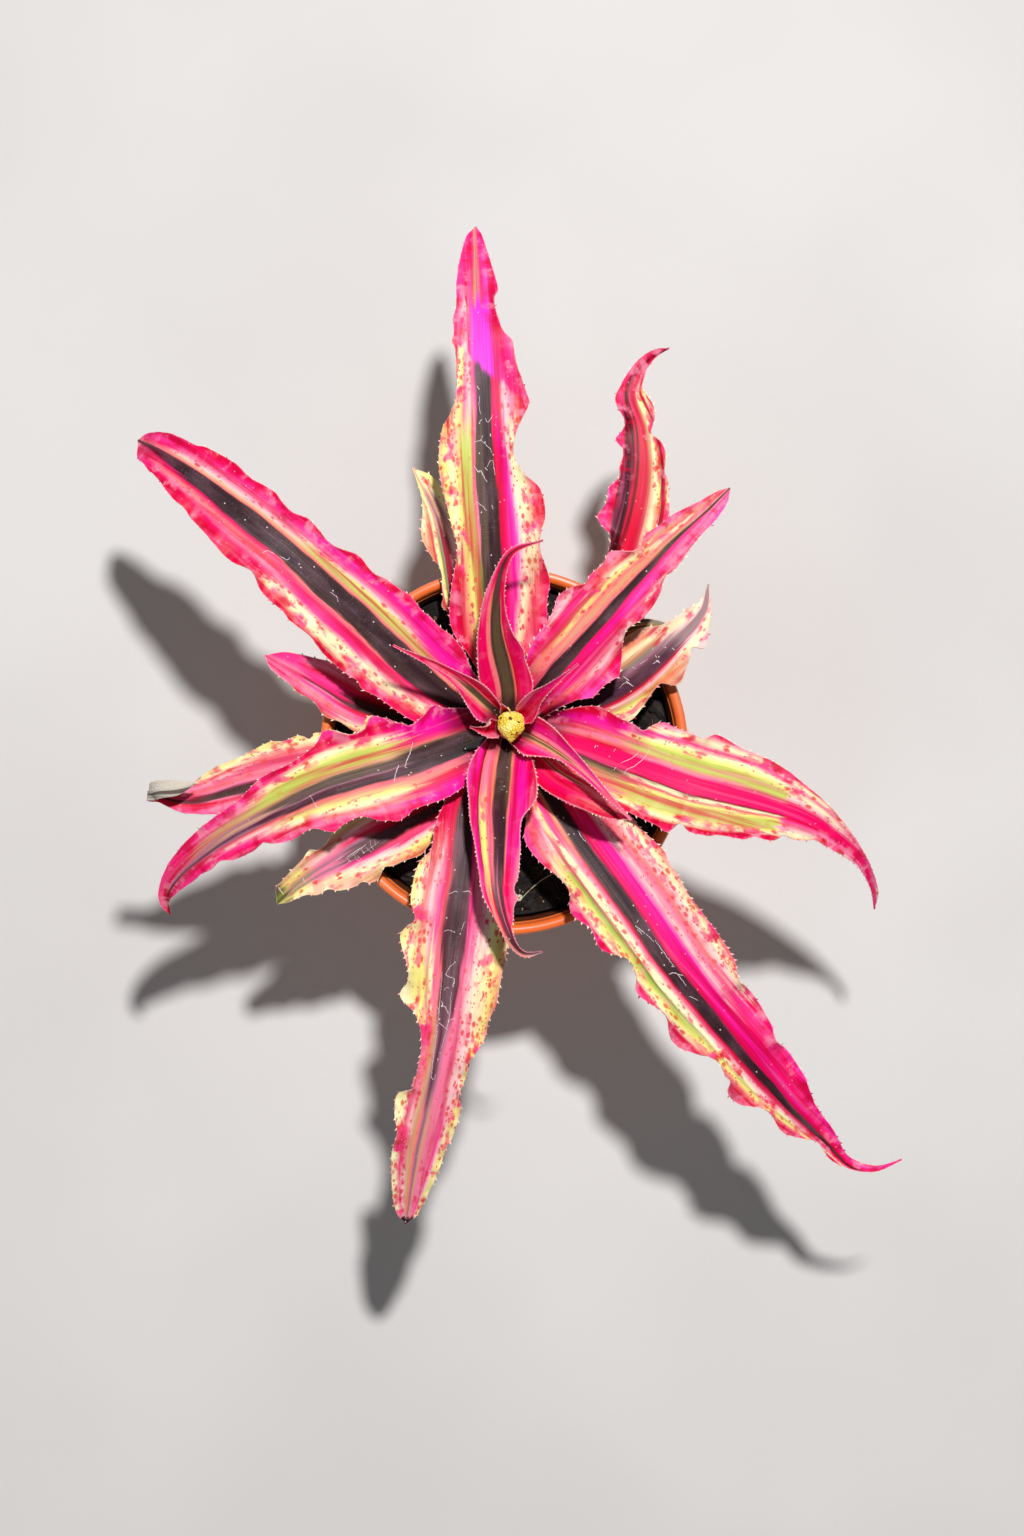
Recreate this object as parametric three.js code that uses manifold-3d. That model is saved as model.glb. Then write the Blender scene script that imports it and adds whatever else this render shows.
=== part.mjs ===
// Earth star bromeliad (Cryptanthus) growing in a round plastic pot.
// Units are millimetres, +Z is up, and the origin is the centre of the pot's foot on the ground.
// Every leaf is one closed blade: a channelled, waved strip with small spines on both edges.

import * as THREE from 'three';
import { mergeVertices } from 'three/addons/utils/BufferGeometryUtils.js';
import Module from 'manifold-3d';

const wasm = await Module();
wasm.setup();

// ---------------------------------------------------------------- driving dimensions
const POT_RIM_RADIUS = 60;
const POT_FOOT_RADIUS = 42;
const POT_HEIGHT = 100;
const POT_WALL = 1.5;
const RIM_LIP_WIDTH = 3.4;
const RIM_COLLAR_DEPTH = 9;
const DRAIN_HOLES = 6;
const DRAIN_HOLE_RADIUS = 4;
const DRAIN_CIRCLE_RADIUS = 27;
const FLOOR_THICKNESS = 2;
const POT_SIDES = 40;

const FIT_GAP = 0.3;
const SOIL_TOP = 92;
const SOIL_BUMP = 1.1;
const SOIL_RINGS = 6;

const PLANT_AXIS = [1.3, 8.1];
const STEM_BOTTOM = 78;
const STEM_TOP = 121.5;
const STEM_RADIUS_LOW = 7.5;
const STEM_RADIUS_HIGH = 3.4;
const STEM_TAPER_START = 94;

const RIB_THICKNESS = 1.6;
const EDGE_THICKNESS = 0.75;
const LEAST_HALF_WIDTH = 0.3;
const SLIM_WIDTH = 5;
const SLIM_SHARE = 0.6;
const TIP_LENGTH = 3;
const SPINE_PITCH = 7;
const SPINE_BASE = 1.3;
const SPINE_LENGTH = 1.1;
const SPINE_LEAN = 0.4;

// The edges are plain at the base and fully waved further out, where the blade is wide enough.
const WAVE_LENGTH = 22;
const WAVE_OFFSET = 1.3;
const WAVE_FROM = 18;
const WAVE_FULL_AT = 50;
const WAVE_FULL_WIDTH = 14;
const RUFFLE_REACH = 12;

// The base's deep channel opens out between these places, the second a share of the length.
const CHANNEL_OPENS_FROM = 5;
const CHANNEL_OPEN_AT = 0.35;

const FLOWER_CENTRE_HEIGHT = 125.6;
const FLOWER_CORE_RADIUS = 3.1;
const FLOWER_BUD_RADIUS = 1.4;
const FLOWER_BUDS = 12;
const FLOWER_COVER = 1.35;

// ---------------------------------------------------------------- leaves
// path: the midrib's points [x, y, z] from the plant's axis out to the tip.
// left, right: [distance along the midrib, half width], left and right as seen walking outwards.
// channel: how deep the blade is cupped, as a share of its half width, at its base and further out.
// ruffle: how far an edge rises where it pulls in. ripple: height of the edge's regular waves.
const LEAVES = [
  {
    name: 'leaf_long_back', colour: 0xd94a7a, channel: [0.45, 0.1], ruffle: 1.0, ripple: 0.9,
    path: [[0, 0, 99.5], [-3, 20, 106], [-5, 53, 115.5], [-7, 91, 119], [-9, 131, 115], [-10.5, 162, 104]],
    left: [[0, 4], [19.2, 6.8], [26.8, 10.4], [31.1, 13.4], [36.4, 14.7], [46, 13.6], [58, 11],
      [66.6, 12.7], [81.9, 15.5], [94.8, 13.9], [98.7, 11.2], [104.4, 8.8], [119.3, 8.4], [121.7, 9.4],
      [124.5, 8.5], [129.3, 8.5], [133.1, 7.4], [141.3, 7], [156.6, 3.3], [160, 0]],
    right: [[0, 4], [16.8, 4.7], [29.2, 14.3], [33.5, 16.4], [40.2, 16.9], [46.5, 18.1], [56, 15.4],
      [60.8, 15.8], [66.6, 17.8], [75.2, 16.3], [79.5, 11.5], [86.2, 8.4], [92.9, 9.8], [101.5, 14.5],
      [104.9, 13.7], [114, 10.8], [121.2, 10], [123.6, 7.7], [126.9, 6.1], [134.6, 4.7], [137.5, 6.1],
      [140.3, 6], [157.1, 1.8], [160, 0]],
  },
  {
    name: 'leaf_long_back_left', colour: 0xd83a72, channel: [0.45, 0.1], ruffle: 1.0, ripple: 0.8,
    path: [[0, 0, 103.5], [-22, 13, 111], [-47, 37, 118], [-73, 60, 121], [-98, 79, 116], [-113.5, 89, 109],
      [-120.5, 93, 99]],
    left: [[0, 4], [20.5, 10.6], [26.3, 14.1], [38, 16], [43.3, 17.7], [46.3, 16.9], [49.2, 17.9],
      [58.9, 18.6], [67.2, 17.2], [75, 17.9], [77.9, 17.3], [87.7, 16.9], [94, 13.9], [101.3, 15.5],
      [105.2, 15.4], [111, 14.1], [120.8, 12.3], [125.2, 10.8], [130, 10.4], [139.8, 7.2], [143.2, 6.9],
      [146.6, 5.7], [151.4, 5.1], [154.4, 2], [157, 0]],
    right: [[0, 4], [19.5, 9.4], [27.8, 13.4], [34.6, 14.5], [39, 14], [44.3, 14.1], [46.7, 13.6],
      [53.1, 14.3], [57, 13.3], [60.9, 12.9], [65.3, 11.4], [72.6, 12.2], [80.8, 9.2], [90.6, 10.6],
      [96.4, 8.9], [101.3, 9.5], [104.7, 10.6], [113.5, 9.4], [119.3, 10.3], [130, 9.3], [133.4, 8],
      [143.7, 6.9], [151.4, 4.4], [153.9, 3.2], [157, 0]],
  },
  {
    name: 'leaf_broad_back_right', colour: 0xe0508a, channel: [0.4, 0.16], ruffle: 1.0, ripple: 0.7,
    path: [[0, 0, 109], [18, 20.5, 116], [44, 49, 122], [71, 76, 123]],
    left: [[0, 4], [16.8, 7.9], [25.7, 11.5], [34, 12.6], [39, 13.9], [42.4, 15.5], [47.9, 13.8],
      [51.3, 11.6], [54.3, 12.3], [59.7, 11.8], [63.6, 12.7], [69.1, 7], [75, 8.4], [80.9, 7.2],
      [86.8, 6.3], [91.8, 4.5], [100.6, 2], [104, 0]],
    right: [[0, 4], [14, 7.8], [21.7, 11], [26.1, 14.4], [30.6, 14.6], [34.5, 15.6], [36.5, 16.2],
      [48.3, 8.1], [54.3, 9.2], [59.7, 9.3], [64.6, 8], [69.6, 5.5], [74, 6], [83.9, 4.5], [95.2, 3.8],
      [100.6, 2.5], [104, 0]],
  },
  {
    name: 'leaf_outer_back_right', colour: 0xb8305a, channel: [0.4, 0.2], ruffle: 0.8, ripple: 0.6,
    path: [[0, 0, 99], [18, 22, 104], [32, 42, 108.5], [40, 64, 112], [43.5, 84, 112], [42.5, 97, 110.5],
      [39.5, 107, 108], [41.5, 113.5, 107], [46, 119, 108], [52, 122, 110]],
    left: [[0, 2.6], [12, 3], [38, 5.5], [50.8, 4.8], [56.7, 2.8], [59.7, 6.5], [62.6, 5.3], [72, 6],
      [75.4, 10.9], [77.4, 11.8], [82.3, 9.9], [87.3, 10], [91.2, 7.2], [95.2, 7.3], [101.6, 6.3],
      [106, 8.4], [108.5, 5.5], [112.9, 4.1], [119.3, 4.9], [122.3, 3.3], [137.1, 1.4], [140.6, 0]],
    right: [[0, 3], [12, 3.5], [31.6, 8.2], [77.4, 11], [91.7, 8.6], [94.7, 7], [101.1, 7], [103.5, 5.4],
      [106, 3.1], [110.5, 5.2], [114.9, 6.1], [126.7, 2.6], [140.6, 0]],
  },
  {
    name: 'leaf_broad_right', colour: 0xe23d78, channel: [0.4, 0.1], ruffle: 1.0, ripple: 0.9,
    path: [[0, 0, 104.5], [22, -5, 112], [57, -17.5, 121], [90, -27, 117.5], [104, -34, 111],
      [114.5, -43.5, 102], [119, -53.5, 92], [120.5, -60, 85]],
    left: [[0, 4], [14, 7.6], [24.8, 12.6], [32, 11.4], [36.1, 11.1], [40.1, 10.3], [43.3, 14.9],
      [47.3, 14.9], [54.5, 14.5], [57.2, 14], [60.8, 16.8], [69, 14.8], [79.8, 12.9], [91, 8.7],
      [102.8, 5.1], [118.1, 2.1], [132, 2], [139.5, 0]],
    right: [[0, 4], [16.2, 9.1], [27.9, 14], [46.9, 16.1], [52.7, 16.8], [55.4, 17.7], [57.7, 13.8],
      [61.3, 15.5], [66.2, 15], [68.5, 14], [77.1, 13.2], [79.3, 11.6], [85.2, 11], [87.4, 8.3],
      [91.9, 8.1], [96.9, 6.6], [99.1, 5.1], [104.1, 4.7], [128.9, 0.4], [139.5, 0]],
  },
  {
    name: 'leaf_long_front_right', colour: 0xdc4480, channel: [0.4, 0.1], ruffle: 1.0, ripple: 0.9,
    path: [[0, 0, 100], [18, -29, 109], [37, -56, 114], [54, -80, 115], [72, -101, 111], [90, -122, 103],
      [104.5, -136.5, 95], [112, -144, 92], [120, -145.5, 91], [128.5, -141.5, 94]],
    left: [[0, 4], [31.6, 13.9], [42.6, 15.9], [47.3, 17.8], [50.7, 17.9], [61.2, 19.9], [64.1, 18.8],
      [68.9, 19], [76, 18.3], [91.8, 18.7], [101.9, 17.5], [107.6, 14.2], [111, 14.7], [115.7, 14.7],
      [124.8, 12.8], [129.6, 10.6], [134.4, 11.5], [140.6, 11.1], [146.3, 10], [155.4, 6.6], [167.4, 4.4],
      [174.1, 2.5], [182.2, 2.6], [197, 0]],
    right: [[0, 4], [24.4, 7.9], [29.2, 10.7], [34, 14.8], [41.6, 14.7], [50.7, 12.1], [55.5, 12.8],
      [57.9, 15.4], [61.2, 16], [67.4, 13.8], [74.6, 14.8], [81.8, 9.4], [87, 10.4], [91.3, 13.6],
      [100.9, 10.8], [108.1, 14.6], [112.9, 14.1], [119.6, 9.1], [124.3, 7.9], [128.2, 9.1], [131, 9.1],
      [133.4, 12], [136.3, 12.5], [139.2, 11.4], [145.4, 6.2], [155.4, 7.3], [165.5, 2], [172.7, 2.8],
      [180.8, 0.6], [197, 0]],
  },
  {
    name: 'leaf_long_front', colour: 0xe07a90, channel: [0.4, 0.1], ruffle: 1.0, ripple: 0.9,
    path: [[0, 0, 103], [-12, -23, 110], [-14, -41, 114], [-17, -66, 117], [-20, -90, 116],
      [-24, -113, 111], [-29, -135, 103], [-33.5, -163, 90]],
    left: [[0, 4], [47.5, 10.3], [55, 12.3], [59.7, 17.5], [63.5, 18], [66.8, 18.7], [69.6, 17.2],
      [72.9, 17.2], [78.1, 16.5], [87, 15.9], [92.2, 14.3], [96.4, 14.2], [101.6, 12.1], [104.4, 10.3],
      [110.1, 10.3], [115.7, 9.2], [119.5, 10.8], [124.7, 10.9], [130.8, 10.4], [133.6, 9.2],
      [141.6, 8.2], [159.9, 3.2], [163.7, 0]],
    right: [[0, 4], [16.5, 5.7], [24.5, 6.3], [35.8, 10.1], [43.3, 10.9], [47.5, 14.1], [53.6, 15.3],
      [59.3, 15.3], [64.9, 13.2], [68.2, 16.6], [70.6, 17.3], [80, 13.4], [84.2, 13.4], [86.6, 14.9],
      [89.4, 14.6], [93.1, 9.2], [100.7, 6], [112, 5.4], [114.8, 6], [117.1, 5.7], [120.4, 9.9],
      [123.3, 10.4], [127, 9.6], [132.2, 7.4], [139.7, 8], [153.4, 5.7], [160.4, 3.4], [163.7, 0]],
  },
  {
    name: 'leaf_broad_left', colour: 0xdc4a82, channel: [0.4, 0.1], ruffle: 1.0, ripple: 0.9,
    path: [[0, 0, 108], [-28, -11, 117], [-60, -21, 122], [-88, -35, 116], [-103, -45.5, 107],
      [-110.5, -54.5, 99], [-110.5, -61.5, 93]],
    left: [[0, 5], [23.8, 13.8], [35.2, 14.4], [37.1, 15.6], [40.3, 16.7], [42.5, 15.7], [44.8, 15.2],
      [50.3, 12], [56.7, 12.6], [60.8, 13.7], [66.3, 10], [73.2, 10.4], [78.7, 9], [81.4, 6.8], [86, 7.6],
      [93.3, 6.9], [97, 4.7], [101.1, 5.1], [106.6, 4.3], [110.3, 4.3], [119.4, 2.2], [124, 0.4],
      [129, 0]],
    right: [[0, 5], [13, 11], [17.4, 12.8], [20.1, 14.9], [24.2, 12.9], [29.3, 11.3], [31.1, 12.7],
      [33.9, 14.2], [38.9, 18.2], [42.5, 14.6], [47.6, 14.1], [51.7, 17.4], [53.5, 17.8], [55.4, 15.6],
      [57.2, 14.1], [64.5, 11.9], [73.7, 11.9], [82.8, 8.9], [103.4, 6.9], [125.4, 2.3], [129, 0]],
  },
  {
    name: 'leaf_under_left', colour: 0xd05080, channel: [0.4, 0.14], ruffle: 0.8, ripple: 0.6,
    path: [[0, 0, 98.5], [-35, -8, 106], [-81, -18, 107.5], [-98, -22.6, 105.5], [-106, -23.2, 105],
      [-112, -22, 106], [-115.3, -21.2, 109.5], [-112.8, -20.4, 113.2], [-107, -20, 114.6],
      [-100.5, -18.5, 113.8]],
    left: [[0, 3.5], [40, 9], [80, 9], [93, 7.4], [98.7, 6.8], [104, 5.5], [108, 5], [111.7, 3.9],
      [116.5, 2.8], [120.6, 3.3], [125, 3.1], [131, 2.5], [135, 1.3], [137.9, 0]],
    right: [[0, 3.5], [12.5, 7.4], [14.5, 8.9], [20, 10.1], [26, 7.7], [31.5, 7], [34, 8.5], [37, 9.6],
      [38.9, 11.3], [40.9, 11.9], [43.4, 13.2], [45.4, 12.2], [47.4, 9.5], [49.9, 8.4], [52.4, 8.6],
      [57.9, 11.5], [59.9, 10.8], [62.4, 11.4], [64.4, 9.8], [67.9, 11.7], [72.9, 10.8], [77.4, 11.6],
      [86.4, 9.2], [94.4, 8.3], [98.7, 7.4], [103.5, 5.5], [107.5, 3.6], [111.7, 2.1], [116, 1.9],
      [120.6, 2.2], [125, 2.7], [131, 2.5], [135, 1.3], [137.9, 0]],
  },
  {
    name: 'leaf_old_left', colour: 0xc84070, channel: [0.4, 0.14], ruffle: 0.8, ripple: 0.5,
    path: [[0, 0, 94.5], [-22, -1, 98], [-47, 5, 102.5], [-63, 14, 104.5], [-79, 23, 101]],
    left: [[0, 2.8], [12, 3.2], [26, 6.1], [47.1, 7.3], [52.5, 6.4], [56.9, 7.3], [62.8, 5.1],
      [68.7, 5.2], [71.2, 4.4], [80.5, 2.7], [84, 0]],
    right: [[0, 2.8], [12, 3.2], [30, 7.5], [52, 9.3], [63, 8.8], [73, 6.1], [79, 4], [84, 0]],
  },
  {
    name: 'leaf_old_front_left', colour: 0xc07a80, channel: [0.4, 0.14], ruffle: 0.8, ripple: 0.5,
    path: [[0, 0, 94.5], [-17, -22, 100], [-36, -33, 104.5], [-51, -41, 106], [-66, -50, 103.5],
      [-75.2, -57.8, 99.6]],
    left: [[0, 2.8], [12, 3.2], [39.8, 8.9], [43.7, 10.1], [46.2, 11.4], [52.1, 10.5], [56, 10.2],
      [58.5, 9.3], [61.9, 11.9], [64.9, 11.6], [66.8, 10.1], [69.3, 10.3], [74.7, 8.9], [77.6, 6.7],
      [81.6, 6.3], [85.5, 4], [91.9, 2], [95, 0]],
    right: [[0, 2.8], [12, 3.2], [29.5, 7.9], [56, 10.5], [64.9, 9.4], [71.7, 5.9], [74.2, 6],
      [76.6, 7.3], [79.6, 5.9], [84.5, 5], [89.4, 4.3], [91.4, 4.2], [95, 0]],
  },
  {
    name: 'leaf_old_right', colour: 0xb89080, channel: [0.4, 0.14], ruffle: 0.8, ripple: 0.5,
    path: [[0, 0, 94.5], [30, 9, 102], [42, 16, 105], [54, 27, 107], [63, 37, 106], [65, 46, 105]],
    left: [[0, 3], [12, 3.5], [25, 8], [40, 12], [51, 12.4], [58, 10.5], [63, 6.6], [69.2, 5.4], [74, 4.2],
      [79.5, 1.2], [84, 0]],
    right: [[0, 3], [12, 4], [23.1, 7.9], [32.9, 9.8], [37.3, 10.6], [49.6, 6.2], [53, 10.4],
      [56.4, 9.6], [62.3, 6.3], [64.6, 4.9], [66.9, 7.8], [71.2, 5.5], [75.1, 2.7], [79, 1.3], [84, 0]],
  },
  {
    name: 'leaf_old_back_left', colour: 0xc0a070, channel: [0.4, 0.14], ruffle: 0.8, ripple: 0.5,
    path: [[0, 0, 94.5], [-12, 21, 101], [-18, 40, 105], [-20.5, 55, 106], [-23.5, 68, 104],
      [-31, 84, 100]],
    left: [[0, 2.8], [18.5, 7.5], [23.9, 5], [29.3, 3.9], [33.7, 2.3], [41.5, 2.1], [43.9, 3.7],
      [46.4, 2.6], [49.8, 2.4], [53.2, 1.9], [56.6, 2.4], [58.6, 3.8], [67.3, 6.1], [79.5, 1.8], [90, 0]],
    right: [[0, 2.8], [25, 7], [45, 9], [65, 8], [78, 5.5], [85, 4.2], [90, 0]],
  },
  {
    name: 'leaf_old_curled', colour: 0x9a9080, channel: [0.4, 0.25], ruffle: 0.8, ripple: 0.4,
    path: [[0, 0, 93.2], [20, 19, 96.2], [35, 27.5, 101.5], [43, 30.2, 104], [49, 30.9, 104.8],
      [55, 29.6, 104]],
    left: [[0, 3], [20, 4], [35, 5], [45, 5], [53, 4.6], [58, 3.7], [62, 2.4], [66, 0]],
    right: [[0, 3], [20, 4], [35, 4.5], [45, 4.5], [53, 4], [60, 2.5], [66, 0]],
  },
  {
    name: 'leaf_inner_back', colour: 0xd03a70, channel: [0.55, 0.4], ruffle: 0.6, ripple: 0.3,
    path: [[0, 0, 112], [0, 12, 118], [-3.5, 29, 129], [-3, 43, 137], [1, 54, 143], [11, 58, 146]],
    left: [[0, 4], [13, 7.5], [19, 8.4], [28, 6.7], [36, 5.1], [44, 3.6], [51, 2], [58, 1.2], [66, 0]],
    right: [[0, 4], [10, 7], [14, 7.9], [21, 7.1], [25, 7.3], [31, 5], [38, 3], [48, 1.6], [56, 1],
      [66, 0]],
  },
  {
    name: 'leaf_inner_front', colour: 0xd84084, channel: [0.5, 0.35], ruffle: 0.6, ripple: 0.3,
    path: [[0, 0, 111.5], [-2.5, -15, 119], [-3.5, -36, 130], [-3, -53, 136], [1, -67, 137],
      [5, -72, 136], [11, -72, 135.5]],
    left: [[0, 4], [8, 6.5], [13, 10], [25.6, 12.1], [32.6, 7.7], [43.3, 7.3], [51.3, 6.5], [53.6, 5.1],
      [55.9, 5.1], [57.8, 5.7], [59.7, 4], [63.9, 2.4], [66.2, 1.1], [80, 0]],
    right: [[0, 4], [7, 6], [12, 8.5], [19, 10.3], [27, 9.2], [33, 8.6], [41, 6.8], [50, 5.4], [55, 4.9],
      [62, 2.9], [70, 1.8], [76, 1.2], [80, 0]],
  },
  {
    name: 'leaf_under_front_right', colour: 0xb03048, channel: [0.6, 0.5], ruffle: 0.4, ripple: 0.2,
    path: [[0, 0, 108.5], [13, -16, 117], [26, -23, 125], [39, -30, 131.5]],
    left: [[0, 2.8], [8, 3], [18, 5], [30, 4.5], [40, 2.5], [50, 0]],
    right: [[0, 2.8], [8, 3], [16, 4], [27, 4.3], [34, 4.4], [44, 3], [50, 0]],
  },
  {
    name: 'leaf_inner_left', colour: 0xc83868, channel: [0.7, 0.8], ruffle: 0.3, ripple: 0.1,
    path: [[0, 0, 115.3], [-7, 5.8, 120.9], [-19, 16, 131], [-36, 25, 145]],
    left: [[0, 2.4], [6, 3.4], [10, 4.6], [14, 3.7], [20, 1.8], [30, 0.8], [44, 0]],
    right: [[0, 2.4], [6, 3.2], [10, 4.2], [16, 4.6], [24, 2.4], [33, 1.3], [44, 0]],
  },
  {
    name: 'leaf_inner_front_right', colour: 0xd84a80, channel: [0.6, 0.6], ruffle: 0.3, ripple: 0.1,
    path: [[0, 0, 113.5], [13, -6.5, 122.5], [25, -16, 132], [39, -30, 139]],
    left: [[0, 3.5], [6, 5.5], [9, 6.4], [14, 5.8], [21, 4], [28, 2.7], [36, 1.4], [49.6, 0]],
    right: [[0, 3.5], [6, 5], [11, 6.2], [15, 4.7], [20, 2.2], [27, 1.2], [40, 0.9], [49.6, 0]],
  },
  {
    name: 'leaf_heart_back_right', colour: 0xd82a6a, channel: [0.7, 0.8], ruffle: 0, ripple: 0,
    path: [[0, 0, 119], [4.5, 3, 121], [7, 5.5, 127], [11, 10, 134], [22, 19, 146]],
    left: [[0, 1.8], [5, 2.1], [9, 3.4], [14, 3.2], [19, 1.3], [29.4, 0]],
    right: [[0, 1.8], [5, 2.6], [9, 3.4], [14, 1.8], [20, 0.9], [29.4, 0]],
  },
  {
    name: 'leaf_heart_left', colour: 0xd03060, channel: [0.7, 0.8], ruffle: 0, ripple: 0,
    path: [[0, 0, 119], [-5, -1.2, 121], [-7.5, -1.8, 127], [-12, -0.6, 132]],
    left: [[0, 1.8], [4, 2.8], [6, 3], [8, 1.6], [12, 0]],
    right: [[0, 1.8], [4, 2.8], [6, 3], [8, 1.6], [12, 0]],
  },
  {
    name: 'leaf_heart_back', colour: 0xd88a60, channel: [0.7, 0.8], ruffle: 0, ripple: 0,
    path: [[0, 0, 119.7], [-0.8, 4.4, 121.2], [-1.3, 5.6, 125.5], [-2, 6.6, 129]],
    left: [[0, 1.4], [4, 1.7], [7, 1.2], [9, 0]],
    right: [[0, 1.4], [4, 1.7], [7, 1.2], [9, 0]],
  },
];

// ---------------------------------------------------------------- curves
// A smooth curve through rows [position, value...]: cubic pieces with central slopes.
function smooth(rows, at) {
  const last = rows.length - 1;
  let i = 0;
  while (i < last - 1 && at > rows[i + 1][0]) i += 1;
  const slope = (k, column) => {
    const before = rows[Math.max(k - 1, 0)];
    const after = rows[Math.min(k + 1, last)];
    return (after[column] - before[column]) / (after[0] - before[0]);
  };
  const span = rows[i + 1][0] - rows[i][0];
  const t = THREE.MathUtils.clamp((at - rows[i][0]) / span, 0, 1);
  const values = [];
  for (let column = 1; column < rows[0].length; column += 1) {
    const start = rows[i][column];
    const end = rows[i + 1][column];
    const startPull = slope(i, column) * span;
    const endPull = slope(i + 1, column) * span;
    values.push(
      start * (2 * t ** 3 - 3 * t ** 2 + 1) + startPull * (t ** 3 - 2 * t ** 2 + t)
      + end * (3 * t ** 2 - 2 * t ** 3) + endPull * (t ** 3 - t ** 2),
    );
  }
  return values;
}

function stemRadius(height) {
  const t = THREE.MathUtils.clamp((height - STEM_TAPER_START) / (STEM_TOP - STEM_TAPER_START), 0, 1);
  return THREE.MathUtils.lerp(STEM_RADIUS_LOW, STEM_RADIUS_HIGH, t);
}

// ---------------------------------------------------------------- a leaf's surface
const STEEP = 0.35;
const HEADING_STEP = 0.5;

// Gives functions that place any point of the blade's upper face.
function leafSurface(leaf) {
  const points = leaf.path.map((p) => new THREE.Vector3(...p));
  const rows = [];
  let length = 0;
  points.forEach((point, i) => {
    if (i > 0) length += point.distanceTo(points[i - 1]);
    rows.push([length, point.x, point.y, point.z]);
  });
  const rib = (s) => new THREE.Vector3(...smooth(rows, s));
  const heading = (s) => {
    const ahead = rib(Math.min(s + HEADING_STEP, length));
    return ahead.sub(rib(Math.max(s - HEADING_STEP, 0))).normalize();
  };

  // The direction across the blade stays level and never flips, also where a tip curls over.
  // Where the midrib stands nearly upright the last level direction is kept.
  const acrossRows = [];
  const up = new THREE.Vector3(0, 0, 1);
  let across = null;
  for (let s = 0; s <= length; s += 1) {
    const ahead = heading(s);
    const level = up.clone().cross(ahead);
    const steep = level.length() < STEEP;
    if (across === null) {
      across = level.normalize();
    } else if (!steep) {
      if (level.dot(across) < 0) level.negate();
      across = level.normalize();
    }
    acrossRows.push([s, across.x, across.y, across.z]);
  }

  // The tables give distances seen from above, so they are stretched to the sloping midrib.
  const stretch = length / leaf.left[leaf.left.length - 1][0];
  const halfWidth = (side, s) => {
    const [width] = smooth(side > 0 ? leaf.left : leaf.right, s / stretch);
    return Math.max(width, LEAST_HALF_WIDTH);
  };
  const edgeLift = (side, s) => {
    const around = [-RUFFLE_REACH, -RUFFLE_REACH / 2, 0, RUFFLE_REACH / 2, RUFFLE_REACH];
    const width = halfWidth(side, s);
    const mean = around.reduce((sum, step) => sum + halfWidth(side, s + step), 0) / around.length;
    const wave = Math.sin((2 * Math.PI * s) / WAVE_LENGTH + side * WAVE_OFFSET);
    const grown = THREE.MathUtils.smoothstep(s, WAVE_FROM, WAVE_FULL_AT);
    const strength = Math.min(width / WAVE_FULL_WIDTH, 1) * grown;
    return (leaf.ruffle * (mean - width) + leaf.ripple * wave) * strength;
  };
  const place = (s, u) => {
    const side = u < 0 ? -1 : 1;
    const width = halfWidth(side, s);
    const sideways = new THREE.Vector3(...smooth(acrossRows, s)).normalize();
    const normal = heading(s).cross(sideways).normalize();
    const open = THREE.MathUtils.smoothstep(s, CHANNEL_OPENS_FROM, length * CHANNEL_OPEN_AT);
    const cup = THREE.MathUtils.lerp(...leaf.channel, open);
    const rise = cup * width * u * u + edgeLift(side, s) * Math.abs(u) ** 3;
    return rib(s).addScaledVector(sideways, u * width).addScaledVector(normal, rise);
  };
  return { length, rib, halfWidth, place };
}

// ---------------------------------------------------------------- a leaf's solid
const COLUMNS = [-1, -0.5, 0, 0.5, 1];
const BASE_STEP = 0.05;
const SPINE_PLACE = 0.6;
const SLOPE_STEP = 0.4;
const SIDE_STEP = 0.1;

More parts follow.
